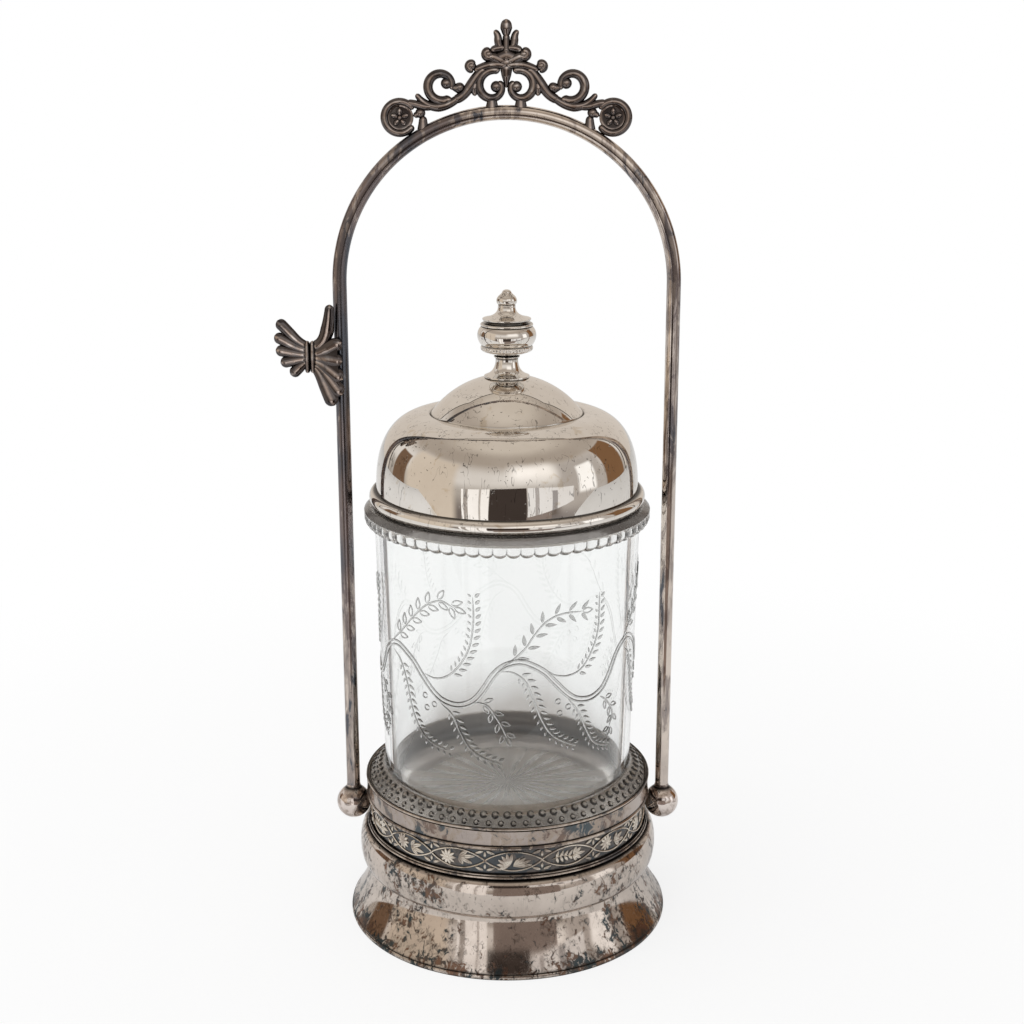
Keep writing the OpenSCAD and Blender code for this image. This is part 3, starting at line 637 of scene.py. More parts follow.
class Heap:
    def __init__(self):
        self.points, self.faces, self.shine, self.count = [], [], [], 0
        self.under = []

    def add(self, grid, shine=1.0, close_rows=False, caps=False):
        """Takes a grid whose columns close into rings. The last column and the caps are its underside."""
        grid = np.asarray(grid, float)
        rows, columns = grid.shape[:2]
        index = self.count + np.arange(rows * columns).reshape(rows, columns)
        here = index if close_rows else index[:-1]
        after = np.roll(index, -1, 0)[:len(here)]
        quads = np.stack([here, np.roll(here, -1, 1), np.roll(after, -1, 1), after], -1)
        self.faces += quads.reshape(-1, 4).tolist()
        last_column = np.zeros(here.shape, bool)
        last_column[:, -1] = True
        self.under += last_column.reshape(-1).tolist()
        if caps:
            self.faces += [index[0].tolist(), index[-1].tolist()]
            self.under += [True, True]
        self.points.append(grid.reshape(-1, 3))
        self.shine.append(np.broadcast_to(shine, (rows, columns)).reshape(-1))
        self.count += rows * columns
        return self

    def build(self, name, body, slot, finish, replaces=(), crease=40, underside=None):
        mesh = bpy.data.meshes.new(name)
        mesh.from_pydata((np.concatenate(self.points) * MM).tolist(), [], self.faces)
        mesh.materials.append(finish)
        if underside:
            mesh.materials.append(underside)
            mesh.polygons.foreach_set("material_index", np.array(self.under, np.int32))
        mark = mesh.attributes.new("shine", "FLOAT", "POINT")
        mark.data.foreach_set("value", np.concatenate(self.shine).astype(np.float32))
        shape = bmesh.new()
        shape.from_mesh(mesh)
        bmesh.ops.remove_doubles(shape, verts=shape.verts, dist=WELD_GAP)
        bmesh.ops.recalc_face_normals(shape, faces=shape.faces)
        shape.to_mesh(mesh)
        shape.free()
        mesh.shade_smooth()
        mesh.set_sharp_from_angle(angle=math.radians(crease))
        piece = put_in_scene(name, mesh)
        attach(piece, body)
        if replaces:
            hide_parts(*replaces)
        print(f"{name}: {len(mesh.vertices)} points on {body}")
        return piece


# %% Lathe
TURNS = 320
HOLLOW_SHINE = 0.25


def around(profile, turns=TURNS):
    """Radius, height and angle of every point of a turned grid. Angle 0 is the front, a right angle the right."""
    profile = np.asarray(profile, float)
    angle = np.linspace(0, 2 * np.pi, turns, endpoint=False)
    return np.repeat(profile[:, :1], turns, 1), np.repeat(profile[:, 1:2], turns, 1), angle


def turned_grid(radius, height, angle):
    return np.stack([radius * np.sin(angle), -radius * np.cos(angle), height], -1)


def dirt_lines(height, lines):
    """The shine mark with a dark line at each height, given with its half width."""
    dark = sum((np.exp(-((height - z) / half) ** 2) for z, half in lines), np.zeros_like(height))
    return 1 - np.clip(dark, 0, 1)


def lathe(heap, profile, turns=TURNS, dirt=(), dull_inside=0.0):
    """Puts a closed section on the lathe and gives the heap back."""
    radius, height, angle = around(profile, turns)
    shine = np.where(radius < dull_inside, HOLLOW_SHINE, dirt_lines(height, dirt))
    return heap.add(turned_grid(radius, height, angle), shine, close_rows=True)


# %% [markdown]
# ## Foot and moulding
# The foot is sheet metal spun over a wooden form, so its section is one even thickness. It drops straight from
# the waist and flares out to the table, and a half-round wire is soldered round its edge. The moulding above it
# is a second spun ring. A lathe grid of the section gives both, and a dirt line marks each seam.

# %% Foot
METAL_T = 0.9
SEAM_Z, EDGE_Z = 18.0, 1.8
FOOT_STEPS = 70
foot_out = bezier((53.75, 1.81), (48.325, 9.905), (46.0, 14.762), (46.0, SEAM_Z), FOOT_STEPS)
foot_in = foot_out - np.stack([METAL_T * np.linspace(1.2, 1, FOOT_STEPS + 1), np.zeros(FOOT_STEPS + 1)], 1)
lathe(Heap(), np.concatenate([foot_out, foot_in[::-1]]), dirt=[(SEAM_Z, 0.35), (EDGE_Z, 0.3)]).build(
    "foot_flare", "frame", "silver_plate", foot_silver, ["foot_skirt"])

edge_ring = arc((52.89, 0.66), 1.1, 1.1, 0, 360, 28)[:-1]
edge_ring[:, 1] = np.maximum(edge_ring[:, 1], 0)
lathe(Heap(), edge_ring, dirt=[(EDGE_Z, 0.25), (0, 0.3)]).build(
    "foot_edge", "frame", "silver_plate", foot_silver, ["foot_wire"])

# %% Moulding
MOULDING_MID = (46.0, 25.0)
FULLNESS = 0.55
swing = np.radians(np.linspace(-90, 90, 61))


def bulge(spread, half):
    return np.stack([MOULDING_MID[0] + spread * np.abs(np.cos(swing)) ** FULLNESS,
                     MOULDING_MID[1] + half * np.sin(swing)], 1)


lathe(Heap(), np.concatenate([[(45.1, 18.05), (46, 18.05)], bulge(4.35, 6.7), [(46, 31.95), (45.1, 31.95)],
                              bulge(3.45, 5.8)[::-1]]), dirt=[(18.1, 0.4), (31.6, 0.35)]).build(
    "moulding_ring", "frame", "silver_plate", foot_silver, ["moulding"])

# %% [markdown]
# ## Collar and plain wires
# The jar's skirt stands inside a plain collar with a small rolled bead on its edge. The ornamented band below it
# is framed by wires: one broad half-round above, and a stepped pair below. These are lathe grids too, with their
# corners softened, because a real edge always catches a line of light.

# %% Collar and wires
COLLAR = [(45.55, 43.5), (47.5, 43.5), (47.8, 44.0), (47.8, 48.7), (46.9, 48.7), (46.9, 45.1), (45.55, 44.4)]
lathe(Heap(), eased(COLLAR, 0.25, 0.3), dirt=[(43.6, 0.3)], dull_inside=47.0).build(
    "collar_band", "frame", "silver_plate", collar_silver, ["collar"])

for name, node, rings in [
        ("collar_bead", "collar_wire", [(47.45, 49.29, 0.54)]),
        ("band_wire_upper", "drum_wire_high", [(47.2, 42.7, 0.75)]),
        ("band_wire_lower", "drum_wire_low", [(46.95, 33.15, 0.35), (47.3, 32.45, 0.5)])]:
    wire = Heap()
    for r, z, thick in rings:
        lathe(wire, arc((r, z), thick, thick, 0, 360, 20)[:-1], dirt=[(z - thick, 0.2), (z + thick, 0.15)])
    wire.build(name, "frame", "silver_plate", wire_silver, [node])

# %% [markdown]
# ## Embossed band
# The band was rolled through an engraved die, so the ornament stands up from a matted ground. It is a running
# vine whose waves cross and close into ovals, with a daisy, a fan or a branch and leaves in each. Instead of
# bump, each stroke is a small raised mesh bent round the drum: a flat drawing place (along, up, out) is wrapped
# on the cylinder.

# %% Raised strokes
SINK = 0.12


def stroke(heap, path, width, height, place, sink=SINK, taper=True):
    """A rounded ridge along a flat path, put on a surface by place(along, up, out)."""
    path = np.asarray(path, float)
    count = len(path)
    side = left_of(path)
    fade = np.ones(count)
    if taper:
        ends = np.minimum(np.arange(count), np.arange(count)[::-1]) / max(1.0, 0.12 * count)
        fade = np.sqrt(np.clip(ends, 0.03, 1))
    half = width / 2 * fade
    sweep = np.radians(np.linspace(0, 180, 7))
    offsets = np.concatenate([[(1.0, -1.0)], np.stack([np.cos(sweep), np.sin(sweep)], 1), [(-1.0, -1.0)]])
    grid = np.zeros((count, len(offsets), 3))
    tops = np.zeros(grid.shape[:2])
    for k, (out, lift) in enumerate(offsets):
        spot = path + side * (half * out)[:, None]
        rise_k = np.where(lift < 0, -sink, height * lift * fade)
        grid[:, k] = place(spot[:, 0], spot[:, 1], rise_k)
        tops[:, k] = min(max((lift - 0.35) / 0.5, 0), 1)
    heap.add(grid, tops, caps=True)


# %% Leaves and beads
VEIN_HALF = 0.22


def lobe(heap, at, heading, length, width, height, place, vein=0.35, blunt=0.75, sink=SINK):
    """A leaf or petal: pointed at its root, round at its tip, with a vein pressed along its middle."""
    t = np.linspace(0.02, 0.985, 12)
    half = width / 2 * np.sin(np.pi * t ** blunt) ** 0.8
    aim = np.radians(heading)
    ahead_of, side_of = np.array([np.cos(aim), np.sin(aim)]), np.array([-np.sin(aim), np.cos(aim)])
    swell_t = np.sin(np.pi * t ** 0.8) ** 0.5
    columns, tops = [], []
    for c, sunk in [(-1, True)] + [(c, False) for c in np.linspace(-1, 1, 9)] + [(1, True)]:
        spot = np.array(at) + np.outer(t * length, ahead_of) + np.outer(half * c, side_of)
        pressed = vein * math.exp(-(c / VEIN_HALF) ** 2)
        lift = height * swell_t * (math.sqrt(max(0, 1 - c * c)) - pressed)
        columns.append(place(spot[:, 0], spot[:, 1], np.full(len(t), -sink) if sunk else lift))
        tops.append(np.full(len(t), 0 if sunk else max(0, 1 - 0.95 * abs(c) ** 3 - 1.2 * pressed)))
    heap.add(np.stack(columns, 1), np.stack(tops, 1), caps=True)


def berry(heap, at, radius, height, place, sink=SINK, rim=-0.7):
    """A small round bead standing on the surface, with a dark rim that is wider the lower its mark starts."""
    about = np.linspace(0, 2 * np.pi, 14, endpoint=False)

    def ring(share, lift):
        return place(at[0] + radius * share * np.cos(about), at[1] + radius * share * np.sin(about),
                     np.full(len(about), lift))

    rings = np.radians(np.linspace(0, 88, 6))
    rows = [ring(1, -sink)] + [ring(math.cos(a), height * math.sin(a)) for a in rings]
    heap.add(np.stack(rows), np.clip(np.linspace(rim, 1.7, len(rows)), 0, 1)[:, None], caps=True)


# %% Drum
DRUM_R, DRUM_IN = 46.4, 45.5
DRUM_LOW, DRUM_HIGH = 32.0, 43.45
BAND_MID = 37.85
drum_section = [(DRUM_IN, DRUM_LOW), (DRUM_R, DRUM_LOW), (DRUM_R, DRUM_HIGH), (DRUM_IN, DRUM_HIGH)]
lathe(Heap(), eased(drum_section, 0.15, 0.5)).build(
    "drum_ground", "frame", "oxidised_casting", ground_metal, ["drum"])


def on_drum(along, above, out):
    angle = np.asarray(along) / DRUM_R
    return turned_grid(DRUM_R + np.asarray(out), BAND_MID + np.asarray(above), angle)


# %% Vine layout
OVALS = 16
OVAL = 2 * math.pi * DRUM_R / OVALS
WAVE = 3.25
RELIEF = 0.45
FIRST_CROSSING = -0.39 * OVAL
vine = Heap()
run = np.linspace(0, OVALS * OVAL, 1200)
swing_up = np.sin(np.pi * run / OVAL)
for strand in (-1, 1):
    line = np.stack([FIRST_CROSSING + run, strand * WAVE * np.sign(swing_up) * np.abs(swing_up) ** 0.8], 1)
    stroke(vine, line, 0.62, RELIEF * (1.0 + 0.15 * strand), on_drum, taper=False)


def petals(at, headings, length, width, vein=0.12, blunt=1.2):
    """Petals or leaf lobes spread from one point, each with its own length when a list is given."""
    lengths = length if isinstance(length, list) else [length] * len(headings)
    for heading, size in zip(headings, lengths):
        lobe(vine, at, heading, size, width, RELIEF, on_drum, vein=vein, blunt=blunt)


# %% What fills an oval
def daisy_oval(mid, flip):
    petals((mid - 3.3, 0.2 * flip), np.linspace(0, 324, 10), 2.85, 1.25)
    berry(vine, (mid - 3.3, 0.2 * flip), 0.7, RELIEF * 1.1, on_drum)
    petals((mid + 0.4, -0.5 * flip), np.array([-38, -8, 22, 58]) * flip, [4.0, 5.6, 5.0, 3.0], 1.7, vein=0.45)


def fan_oval(mid, flip):
    petals((mid - 1.2, -1.5 * flip), np.array([200, 176, 152, 128, 104, 80]) * flip, 4.2, 1.5, vein=0.2)
    petals((mid - 1.6, -1.6 * flip), np.array([186, 150, 114]) * flip, 2.2, 1.1, vein=0.1)
    petals((mid - 0.2, -1.7 * flip), np.array([2, 18, 34, 52]) * flip, [6.2, 6.0, 5.0, 3.6], 1.5, vein=0.35)


def branch_oval(mid, flip):
    stem = through([(mid - 5.8, 0.4 * flip), (mid - 2.4, -0.5 * flip), (mid + 1.0, 0.5 * flip), (mid + 3.0, 0.1)],
                   0.3)
    stroke(vine, stem, 0.45, RELIEF, on_drum)
    for k, x in enumerate((-4.4, -3.0, -1.6, -0.2)):
        for edge in (-1, 1):
            lobe(vine, (mid + x, 0), edge * (72 - 8 * k), 2.3, 1.15, RELIEF, on_drum, vein=0.3)
    petals((mid + 1.4, 0), np.array([-64, -32, 0, 32, 64]), [2.8, 3.6, 4.6, 3.6, 2.8], 1.45, vein=0.35)


# %% Fill the ovals
KINDS = [fan_oval, branch_oval, daisy_oval, daisy_oval]
for k in range(OVALS):
    start = FIRST_CROSSING + k * OVAL
    KINDS[k % len(KINDS)](start + OVAL / 2, 1 if k % 2 == 0 else -1)
    for edge in (-1, 1):
        for heading in (0, 180):
            lobe(vine, (start + 0.5 * math.cos(math.radians(heading)), edge * 3.35),
                 heading - edge * 20 * (1 if heading == 0 else -1), 2.9, 1.2, RELIEF, on_drum, vein=0.3)
        lobe(vine, (start, edge * 1.2), 90 * edge, 1.9, 1.0, RELIEF, on_drum, vein=0.2)
vine.build("band_vine", "frame", "oxidised_casting", vine_metal)

# %% [markdown]
# ## Glass jar
# The jar was pressed in a mould: a ring of scallops under the flange, two rows of lens dots on the skirt and a
# star of rays under the base. The scallops and the rays shape the jar's own lathe grid, because clear glass only
# looks right as one closed skin: the scallops pull the flange in between lobes, and the rays are grooves in the
# underside. The scallops are outlined with painted shade. The dots are separate small beads set along the
# skirt's slope, since each has a rim of painted shade finer than the grid.

# %% Jar section
FLANGE_LOBES, SKIRT_DOTS, RAYS = 68, 73, 24
JAR_TURNS = FLANGE_LOBES * 14
WALL_LOW, WALL_HIGH = (41.3, 55.0), (43.2, 136.9)
FLANGE_R, BASE_R, SKIRT_STEP = 46.5, 35.4, 0.2
base_rows = [(r, 41.95) for r in np.linspace(0, BASE_R, 18)]
plug_rows = soften([(36.3, 41.53), (43.9, 41.53), (44.9, 42.7), (44.9, 46.7), (46.5, 48.1), (46.5, 49.3)], 0.3)
skirt_rows = evenly(np.concatenate([[(46.5, 49.3)],
                                    bezier((46.0, 50.0), (43.9, 52.7), (41.5, 52.9), WALL_LOW, 24)]), SKIRT_STEP)
wall_rows = [np.array(WALL_LOW) * (1 - s) + np.array(WALL_HIGH) * s for s in np.linspace(0.03, 0.98, 14)]
flange_rows = evenly(bezier(WALL_HIGH, (44.9, 136.9), (46.4, 137.8), (FLANGE_R, 139.6), 30), 0.2)
rim_rows = np.concatenate([[(FLANGE_R, z) for z in np.linspace(139.9, 141.4, 6)],
                           soften([(FLANGE_R, 141.6), (FLANGE_R, 141.8), (44.9, 143.47), (40.2, 143.47),
                                   (39.6, 142.9), (39.6, 136.5)], 0.3)])
inside_shares = (*np.linspace(0.05, 0.62, 6), *np.linspace(0.65, 0.98, 16))
inside_rows = np.concatenate([[(39.6 - 1.3 * s, 136.5 - 86.0 * s) for s in inside_shares],
                              arc((34.3, 50.5), 4, 4, 0, -90, 10), [(r, 46.5) for r in np.linspace(33, 0, 8)]])
sections = [base_rows, plug_rows, skirt_rows[1:], wall_rows, flange_rows, rim_rows, inside_rows]
starts = np.cumsum([0] + [len(s) for s in sections])
radius, height, angle = around(np.concatenate(sections), JAR_TURNS)
print("rows in the jar's section:", starts[-1])


def across_cell(count):
    """Where each column falls in its own cell of a row round the jar, from -0.5 to 0.5."""
    return (count * angle / (2 * np.pi)) % 1 - 0.5


# %% Rays and scallops
RAY_DEPTH, SCALLOP_IN, SCALLOP_UP = 0.5, 0.6, 1.3
shine = np.ones_like(radius)
base = slice(starts[0], starts[1])
ray_ridge = np.abs(2 * across_cell(RAYS))
near_rim = np.clip((BASE_R - radius[base]) / 9, 0, 1)
height[base] += RAY_DEPTH * ray_ridge * np.clip(radius[base] / 14, 0, 1) * near_rim
shine[base] = np.clip(0.25 + radius[base] / 16, 0, 1) * (1 - 0.35 * ray_ridge)

flange = slice(starts[4], starts[5] + 7)
valley = 1 - np.sqrt(1 - 0.97 * (2 * across_cell(FLANGE_LOBES)) ** 2)
fz = height[flange].copy()
off_wall = np.clip((radius[flange] - WALL_HIGH[0]) / 1.2, 0, 1)
radius[flange] -= SCALLOP_IN * valley * off_wall * np.clip((141.9 - fz) / 0.8, 0, 1)
height[flange] += SCALLOP_UP * valley * np.clip((139.6 - fz) / 2.4, 0, 1)
# The scallops' outlines, down the sides of each lobe and along their lower edge, are painted shade for the dark
# lines that the glass bends in there.
in_scallops = np.clip((142.0 - fz) / 0.5, 0, 1)
lobe_sides = np.clip(3 * (valley - 0.42), 0, 1) * np.clip((141.0 - fz) / 1.6, 0, 1)
lobe_outline = lobe_sides + np.exp(-((fz - 137.6) / 0.28) ** 2)
shine[flange] = 1 - in_scallops * np.clip(lobe_outline, 0, 1)

# %% Painted grey shade on the far wall
# The inner face of the far wall gets painted grey shade low down, rising towards the back, for the darker things
# seen through the lower jar; only the far side takes the soft back finish.
HAZE_LOW, HAZE_RISE, HAZE_FADE = 49, 27, 17
inside = slice(starts[6], starts[7])
to_back = np.clip((-np.cos(angle) - 0.13) / 0.87, 0, 1) ** 0.55
grey_top = HAZE_LOW + HAZE_RISE * to_back + 1.4 * np.sin(7 * angle + 1) + 0.9 * np.sin(17 * angle)
hazed = np.clip((height[inside] - grey_top) / HAZE_FADE + 1, 0, 1)
shine[inside] = np.where(radius[inside] > 25, hazed, 1)
jar_piece = Heap().add(turned_grid(radius, height, angle), shine).build(
    "jar_glass", "jar", "clear_glass", wall_glass, ["glass_jar"], crease=35)

# %% Soft and grey parts of the glass
ANY_Y = -99.0
ZONES = [
    # finish, lowest and highest middle of a face, least and greatest radius, least y
    (star_glass, 41.0, 43.4, 0.0, 45.0, ANY_Y),
    (skirt_glass, 46.8, 54.9, 41.0, 47.0, ANY_Y),
    (scallop_glass, 136.91, 141.7, 43.25, 47.0, ANY_Y),
    (flange_glass, 141.7, 143.6, 40.3, 47.0, ANY_Y),
    (back_glass, 46.4, 80.0, 25.0, 39.0, 5.0),
]
for k, (finish, low, high, near, far, least_y) in enumerate(ZONES):
    jar_piece.data.materials.append(finish)
    for face in jar_piece.data.polygons:
        x, y, z = (length / MM for length in face.center)
        if low < z < high and near <= math.hypot(x, y) < far and y > least_y:
            face.material_index = k + 1
print("glass finishes on the jar:", len(jar_piece.data.materials))

# %% Lens dots on the skirt
SKIRT_R = 46.0
# The dots' dark rims are painted shade.
DOT_RIM, DOT_SINK = -3.5, 0.05
DOT_ROWS = [
    # way up the slope, radius, height, share of a gap to shift the row by
    (1.45, 1.0, 0.5, 0.5),
    (4.3, 1.38, 0.65, 0.0),
]
skirt_line = skirt_rows[1:]
outward = -left_of(skirt_line)
skirt_run = SKIRT_STEP * (1 + np.arange(len(skirt_line)))


def on_skirt(along, up_slope, out):
    r, z, out_r, out_z = (np.interp(up_slope, skirt_run, values) for values in (*skirt_line.T, *outward.T))
    out = np.asarray(out)
    return turned_grid(r + out_r * out, z + out_z * out, np.asarray(along) / SKIRT_R)


dots = Heap()
for climb, dot_r, dot_h, shift in DOT_ROWS:
    for k in range(SKIRT_DOTS):
        along = (k + shift) * 2 * math.pi * SKIRT_R / SKIRT_DOTS
        berry(dots, (along, climb), dot_r, dot_h, on_skirt, sink=DOT_SINK, rim=DOT_RIM)
dots.build("skirt_dots", "jar", "clear_glass", dot_glass, underside=clear_side)

# %% [markdown]
# ## Engraved vine on the jar
# A wheel cut the vine into the glass: a double stem that runs round the jar in six waves, with ferns, leaf sprays
# and berries. One wave is drawn flat in degrees and millimetres and placed six times, with two kinds of spray in
# turn. The wheel leaned over on the ferns, so one side has full leaflets and the other fine ticks. The strokes
# are thin ridges on the wall that bend the light at their edges; they are tinted grey, with near-black painted
# shade along their sides for the dark lines that cut glass shows.

# %% Wall of the jar
WAVES = 6
WAVE_DEG = 360 / WAVES
FIRST_CREST = -56.0
DEG = 42.25 * math.pi / 180
OFF_WALL = 0.01


def on_jar(turn_deg, z, out):
    z = np.asarray(z, float)
    share = (z - WALL_LOW[1]) / (WALL_HIGH[1] - WALL_LOW[1])
    wall = WALL_LOW[0] + (WALL_HIGH[0] - WALL_LOW[0]) * share + OFF_WALL + np.asarray(out)
    return turned_grid(wall, z, np.radians(turn_deg))


def jar_flat(start):
    """A drawing place for one wave: millimetres along from its crest, height in millimetres."""
    return lambda along, z, out: on_jar(start + np.asarray(along) / DEG, z, out)


def flat(points):
    """Degrees and heights as millimetres along and heights."""
    return [(turn_deg * DEG, z) for turn_deg, z in points]


# %% Stems and leaves
LINE_W, LINE_H = 0.62, 0.34
FULL_LEAFLET, FINE_TICK = (1.0, 1.1, 0.75), (0.72, 0.75, 0.6)
engraving = Heap()


def cut_line(path, width, place):
    stroke(engraving, path, width, LINE_H, place, sink=0)


def leafy_stem(points, place, step):
    """Cuts a stem, and gives its points and the heading at each in degrees."""
    line = through(flat(points), step)
    cut_line(line, LINE_W, place)
    return line, [math.degrees(math.atan2(dz, dx)) for dx, dz in np.gradient(line, axis=0)]


def beside(spot, heading, gap):
    """The point at a gap from a spot, in a heading."""
    aim = math.radians(heading)
    return spot[0] + gap * math.cos(aim), spot[1] + gap * math.sin(aim)


def leaf_outline(root, heading, length, place):
    t = np.linspace(0, 1, 18)
    half = length * 0.42 / 2 * np.sin(np.pi * t ** 0.85)
    loop = np.concatenate([np.stack([t * length, half], 1), np.stack([t[::-1] * length, -half[::-1]], 1)])
    aim = math.radians(heading)
    spin = np.array([[math.cos(aim), math.sin(aim)], [-math.sin(aim), math.cos(aim)]])
    cut_line(evenly(loop @ spin + np.array(root), 0.25), 0.5, place)


# %% Ferns and sprays
def fern(points, place, leaflet, first, full_side):
    """A stem with a row of full leaflets on one side and finer ticks on the other."""
    line, headings = leafy_stem(points, place, 0.46)
    for i in range(int(first * len(line)), len(line), 5):
        size = leaflet * (1 - 0.35 * (i / len(line)) ** 2)
        for side in (-1, 1):
            share, width, gap = FULL_LEAFLET if side == full_side else FINE_TICK
            root = beside(line[i], headings[i] + side * 90, gap)
            lobe(engraving, root, headings[i] + side * 47, size * share, width, 0.4, place, vein=0, sink=0)


def spray(points, place, size, outlined, every):
    """A stem with pairs of leaves, cut as outlines or as filled lobes, and one leaf at its tip."""
    line, headings = leafy_stem(points, place, 0.5)
    for i in range(int(0.2 * len(line)), len(line), every):
        for side in (-1, 1):
            root = beside(line[i], headings[i] + side * 80, 0.6)
            if outlined:
                leaf_outline(root, headings[i] + side * 42, size, place)
            else:
                lobe(engraving, root, headings[i] + side * 46, size, size * 0.32, 0.38, place, vein=0.5, sink=0)
    leaf_outline(line[-1], headings[-1], size, place)


# %% Double stem
STEM = [(0, 103.1), (5, 102.4), (11.7, 99.4), (17, 95.2), (22.8, 90.8), (27.8, 88.5), (34.6, 87.8), (41, 89.6),
        (45.6, 93.4), (50.2, 98.8), (54.6, 101.8)]
STEM_GAP = 0.7
whole_stem = [(turn_deg + WAVE_DEG * k, z) for k in range(-1, WAVES + 1) for turn_deg, z in STEM]
stem_line = through(flat(whole_stem), 0.5)
stem_side = left_of(stem_line)
one_turn = (stem_line[:, 0] >= 0) & (stem_line[:, 0] <= 360 * DEG + 0.6)
for offset in (-STEM_GAP, STEM_GAP):
    stroke(engraving, (stem_line + offset * stem_side)[one_turn], 0.78, 0.42, jar_flat(FIRST_CREST), sink=0,
           taper=False)
print("points along the stem:", int(one_turn.sum()))

# %% One wave of the vine, six times
FERNS = [
    [[(18.1, 96.2), (24.1, 95.5), (30.2, 97.2), (36, 101.6), (40.3, 108), (42, 116.1), (41.9, 124.1)],
     [(-2.8, 100.6), (3, 97.7), (6.9, 91.6), (10.3, 82.5), (15, 76.5), (20.7, 73.3), (30.1, 71.6)],
     [(26.3, 87.5), (31.6, 84.4), (35.3, 78.9), (39.8, 73.7), (46, 70.7), (54, 68.8)]],
    [[(13.4, 99.6), (17.1, 97.8), (22.8, 97.1), (28.9, 98.4), (34.2, 103), (38, 110.5), (38.3, 122.6)],
     [(-6.5, 100.1), (-1.4, 99.7), (3.8, 96.5), (7.2, 90.5), (10.9, 83.4), (16.5, 77.3), (28.1, 72.3)],
     [(23, 89.3), (28.3, 84), (32.9, 76.9), (37.9, 71.7), (47.1, 68.8)]],
]
FERN_FIRST, FERN_FULL_SIDE = (0.3, 0.16, 0.16), (-1, 1, 1)
BRANCHES = [[(-4.5, 102.6), (4.9, 108.5), (12.8, 114.4), (20.1, 119.2), (27.4, 121.5), (33.9, 119.9)],
            [(-7.8, 100.4), (-2.2, 103.5), (3.8, 107.7), (7.2, 111.5), (12.4, 115.8), (19.5, 117.8), (29.3, 117.6)]]
SPRIGS = [[(42, 89.5), (47.3, 88.7), (50.7, 85.4), (53.7, 81.7), (55.9, 77.9)],
          [(40.4, 87.3), (45.4, 84.5), (49.6, 79.6), (47.5, 75.2)]]
BERRIES = [(18.2, 88.9), (19.1, 84.9), (23.1, 86.6)]
BERRY_R = 0.85
for k in range(WAVES):
    place = jar_flat(FIRST_CREST + WAVE_DEG * k)
    kind = k % 2
    for points, first, full_side in zip(FERNS[kind], FERN_FIRST, FERN_FULL_SIDE):
        fern(points, place, 3.0, first, full_side)
    spray(BRANCHES[kind], place, 3.9, outlined=kind == 0, every=9)
    spray(SPRIGS[kind], place, 3.0, outlined=True, every=8)
    for at in flat(BERRIES):
        cut_line(arc(at, BERRY_R, BERRY_R, 0, 350, 24), 0.45, place)
engraving.build("engraved_vine", "jar", "clear_glass", cut_glass, underside=clear_side)

# %% [markdown]
# ## Lid
# The lid is one spun shell: an upright wall, a shoulder that turns over like a rounded square, a fine crease and
# a shallow crown. A half-round roll stiffens its edge. It is the brightest piece, so the section is sampled
# closely and the reflections stay smooth.

# %% Lid curves
LID_Z, LID_EDGE_Z = 143.5, 143.8
LID_R = 42.45
CROWN_R, CREASE_Z, CREASE_GAP = 24.4, 173.0, 0.6
CROWN_BALL, CROWN_BALL_Z = 30.5, 154.7
SHOULDER_POWER = 2 / 2.5
STUD_HOLE = 1.55


def rounded_quarter(centre, wide, tall):
    t = np.radians(np.linspace(0, 90, 90))
    return np.stack([centre[0] + wide * np.cos(t) ** SHOULDER_POWER,
                     centre[1] + tall * np.sin(t) ** SHOULDER_POWER], 1)


def ball_arc(ball, r_from, r_to, steps):
    return arc((0, CROWN_BALL_Z), ball, ball, math.degrees(math.acos(r_from / ball)),
               math.degrees(math.acos(r_to / ball)), steps)


# %% Lid shell and roll
wall_top = LID_Z + 4.5
shoulder = rounded_quarter((CROWN_R + CREASE_GAP, wall_top), LID_R - CROWN_R - CREASE_GAP, CREASE_Z - wall_top)
under = rounded_quarter((CROWN_R, wall_top), LID_R - CROWN_R - METAL_T, CREASE_Z - wall_top - METAL_T)
lid_profile = np.concatenate([
    [(LID_R - METAL_T, LID_EDGE_Z), (LID_R, LID_EDGE_Z)], evenly(shoulder, 0.35),
    [(CROWN_R, CREASE_Z - CREASE_GAP)], ball_arc(CROWN_BALL, CROWN_R, STUD_HOLE, 70),
    ball_arc(CROWN_BALL - METAL_T, STUD_HOLE, CROWN_R - METAL_T, 40),
    [(CROWN_R - METAL_T, CREASE_Z - CREASE_GAP - METAL_T)], evenly(under[::-1], 0.6)])
radius, height, angle = around(lid_profile)
# A line of painted shade along the crease between the shoulder and the crown.
from_crease = np.hypot(radius - CROWN_R - 0.2, height - CREASE_Z + 0.5)
crease_dirt = np.exp(-(from_crease / 0.5) ** 2)
Heap().add(turned_grid(radius, height, angle), 1 - crease_dirt, close_rows=True).build(
    "lid_dome", "lid", "silver_plate", lid_silver, ["lid_shell"])

ROLL_R, ROLL_MID = 2.3, 42.5
roll_z = LID_EDGE_Z + ROLL_R
lathe(Heap(), np.concatenate([[(ROLL_MID, LID_EDGE_Z)], arc((ROLL_MID, roll_z), ROLL_R, ROLL_R, -88, 88, 40),
                              [(ROLL_MID, roll_z + ROLL_R)]]),
      dirt=[(roll_z + ROLL_R, 0.32), (LID_EDGE_Z, 0.3)]).build(
    "lid_rim_roll", "lid", "silver_plate", lid_silver, ["lid_roll"])

# %% [markdown]
# ## Finial
# The finial was turned in three pieces on one stud: a trumpet foot, a bulb between two rings and a cap with a
# bead. The lower ring carries a fine row of teeth. Each piece is a lathe grid with a bore, with dirt in the
# grooves.

# %% Finial foot
FINIAL_Z, BULB_Z, CAP_Z, TIP_Z = 184.31, 191.61, 202.41, 212.41
BORE, BORE_EASE = 1.55, 0.2
FINIAL_TURNS, FINIAL_STEP = 160, 0.18


def turned_piece(profile, corner):
    """A closed section with its corners eased and a bore down the middle."""
    outer = soften(profile, corner)
    return np.concatenate([evenly(outer, FINIAL_STEP), [(BORE, outer[-1][1]), (BORE, outer[0][1])]])


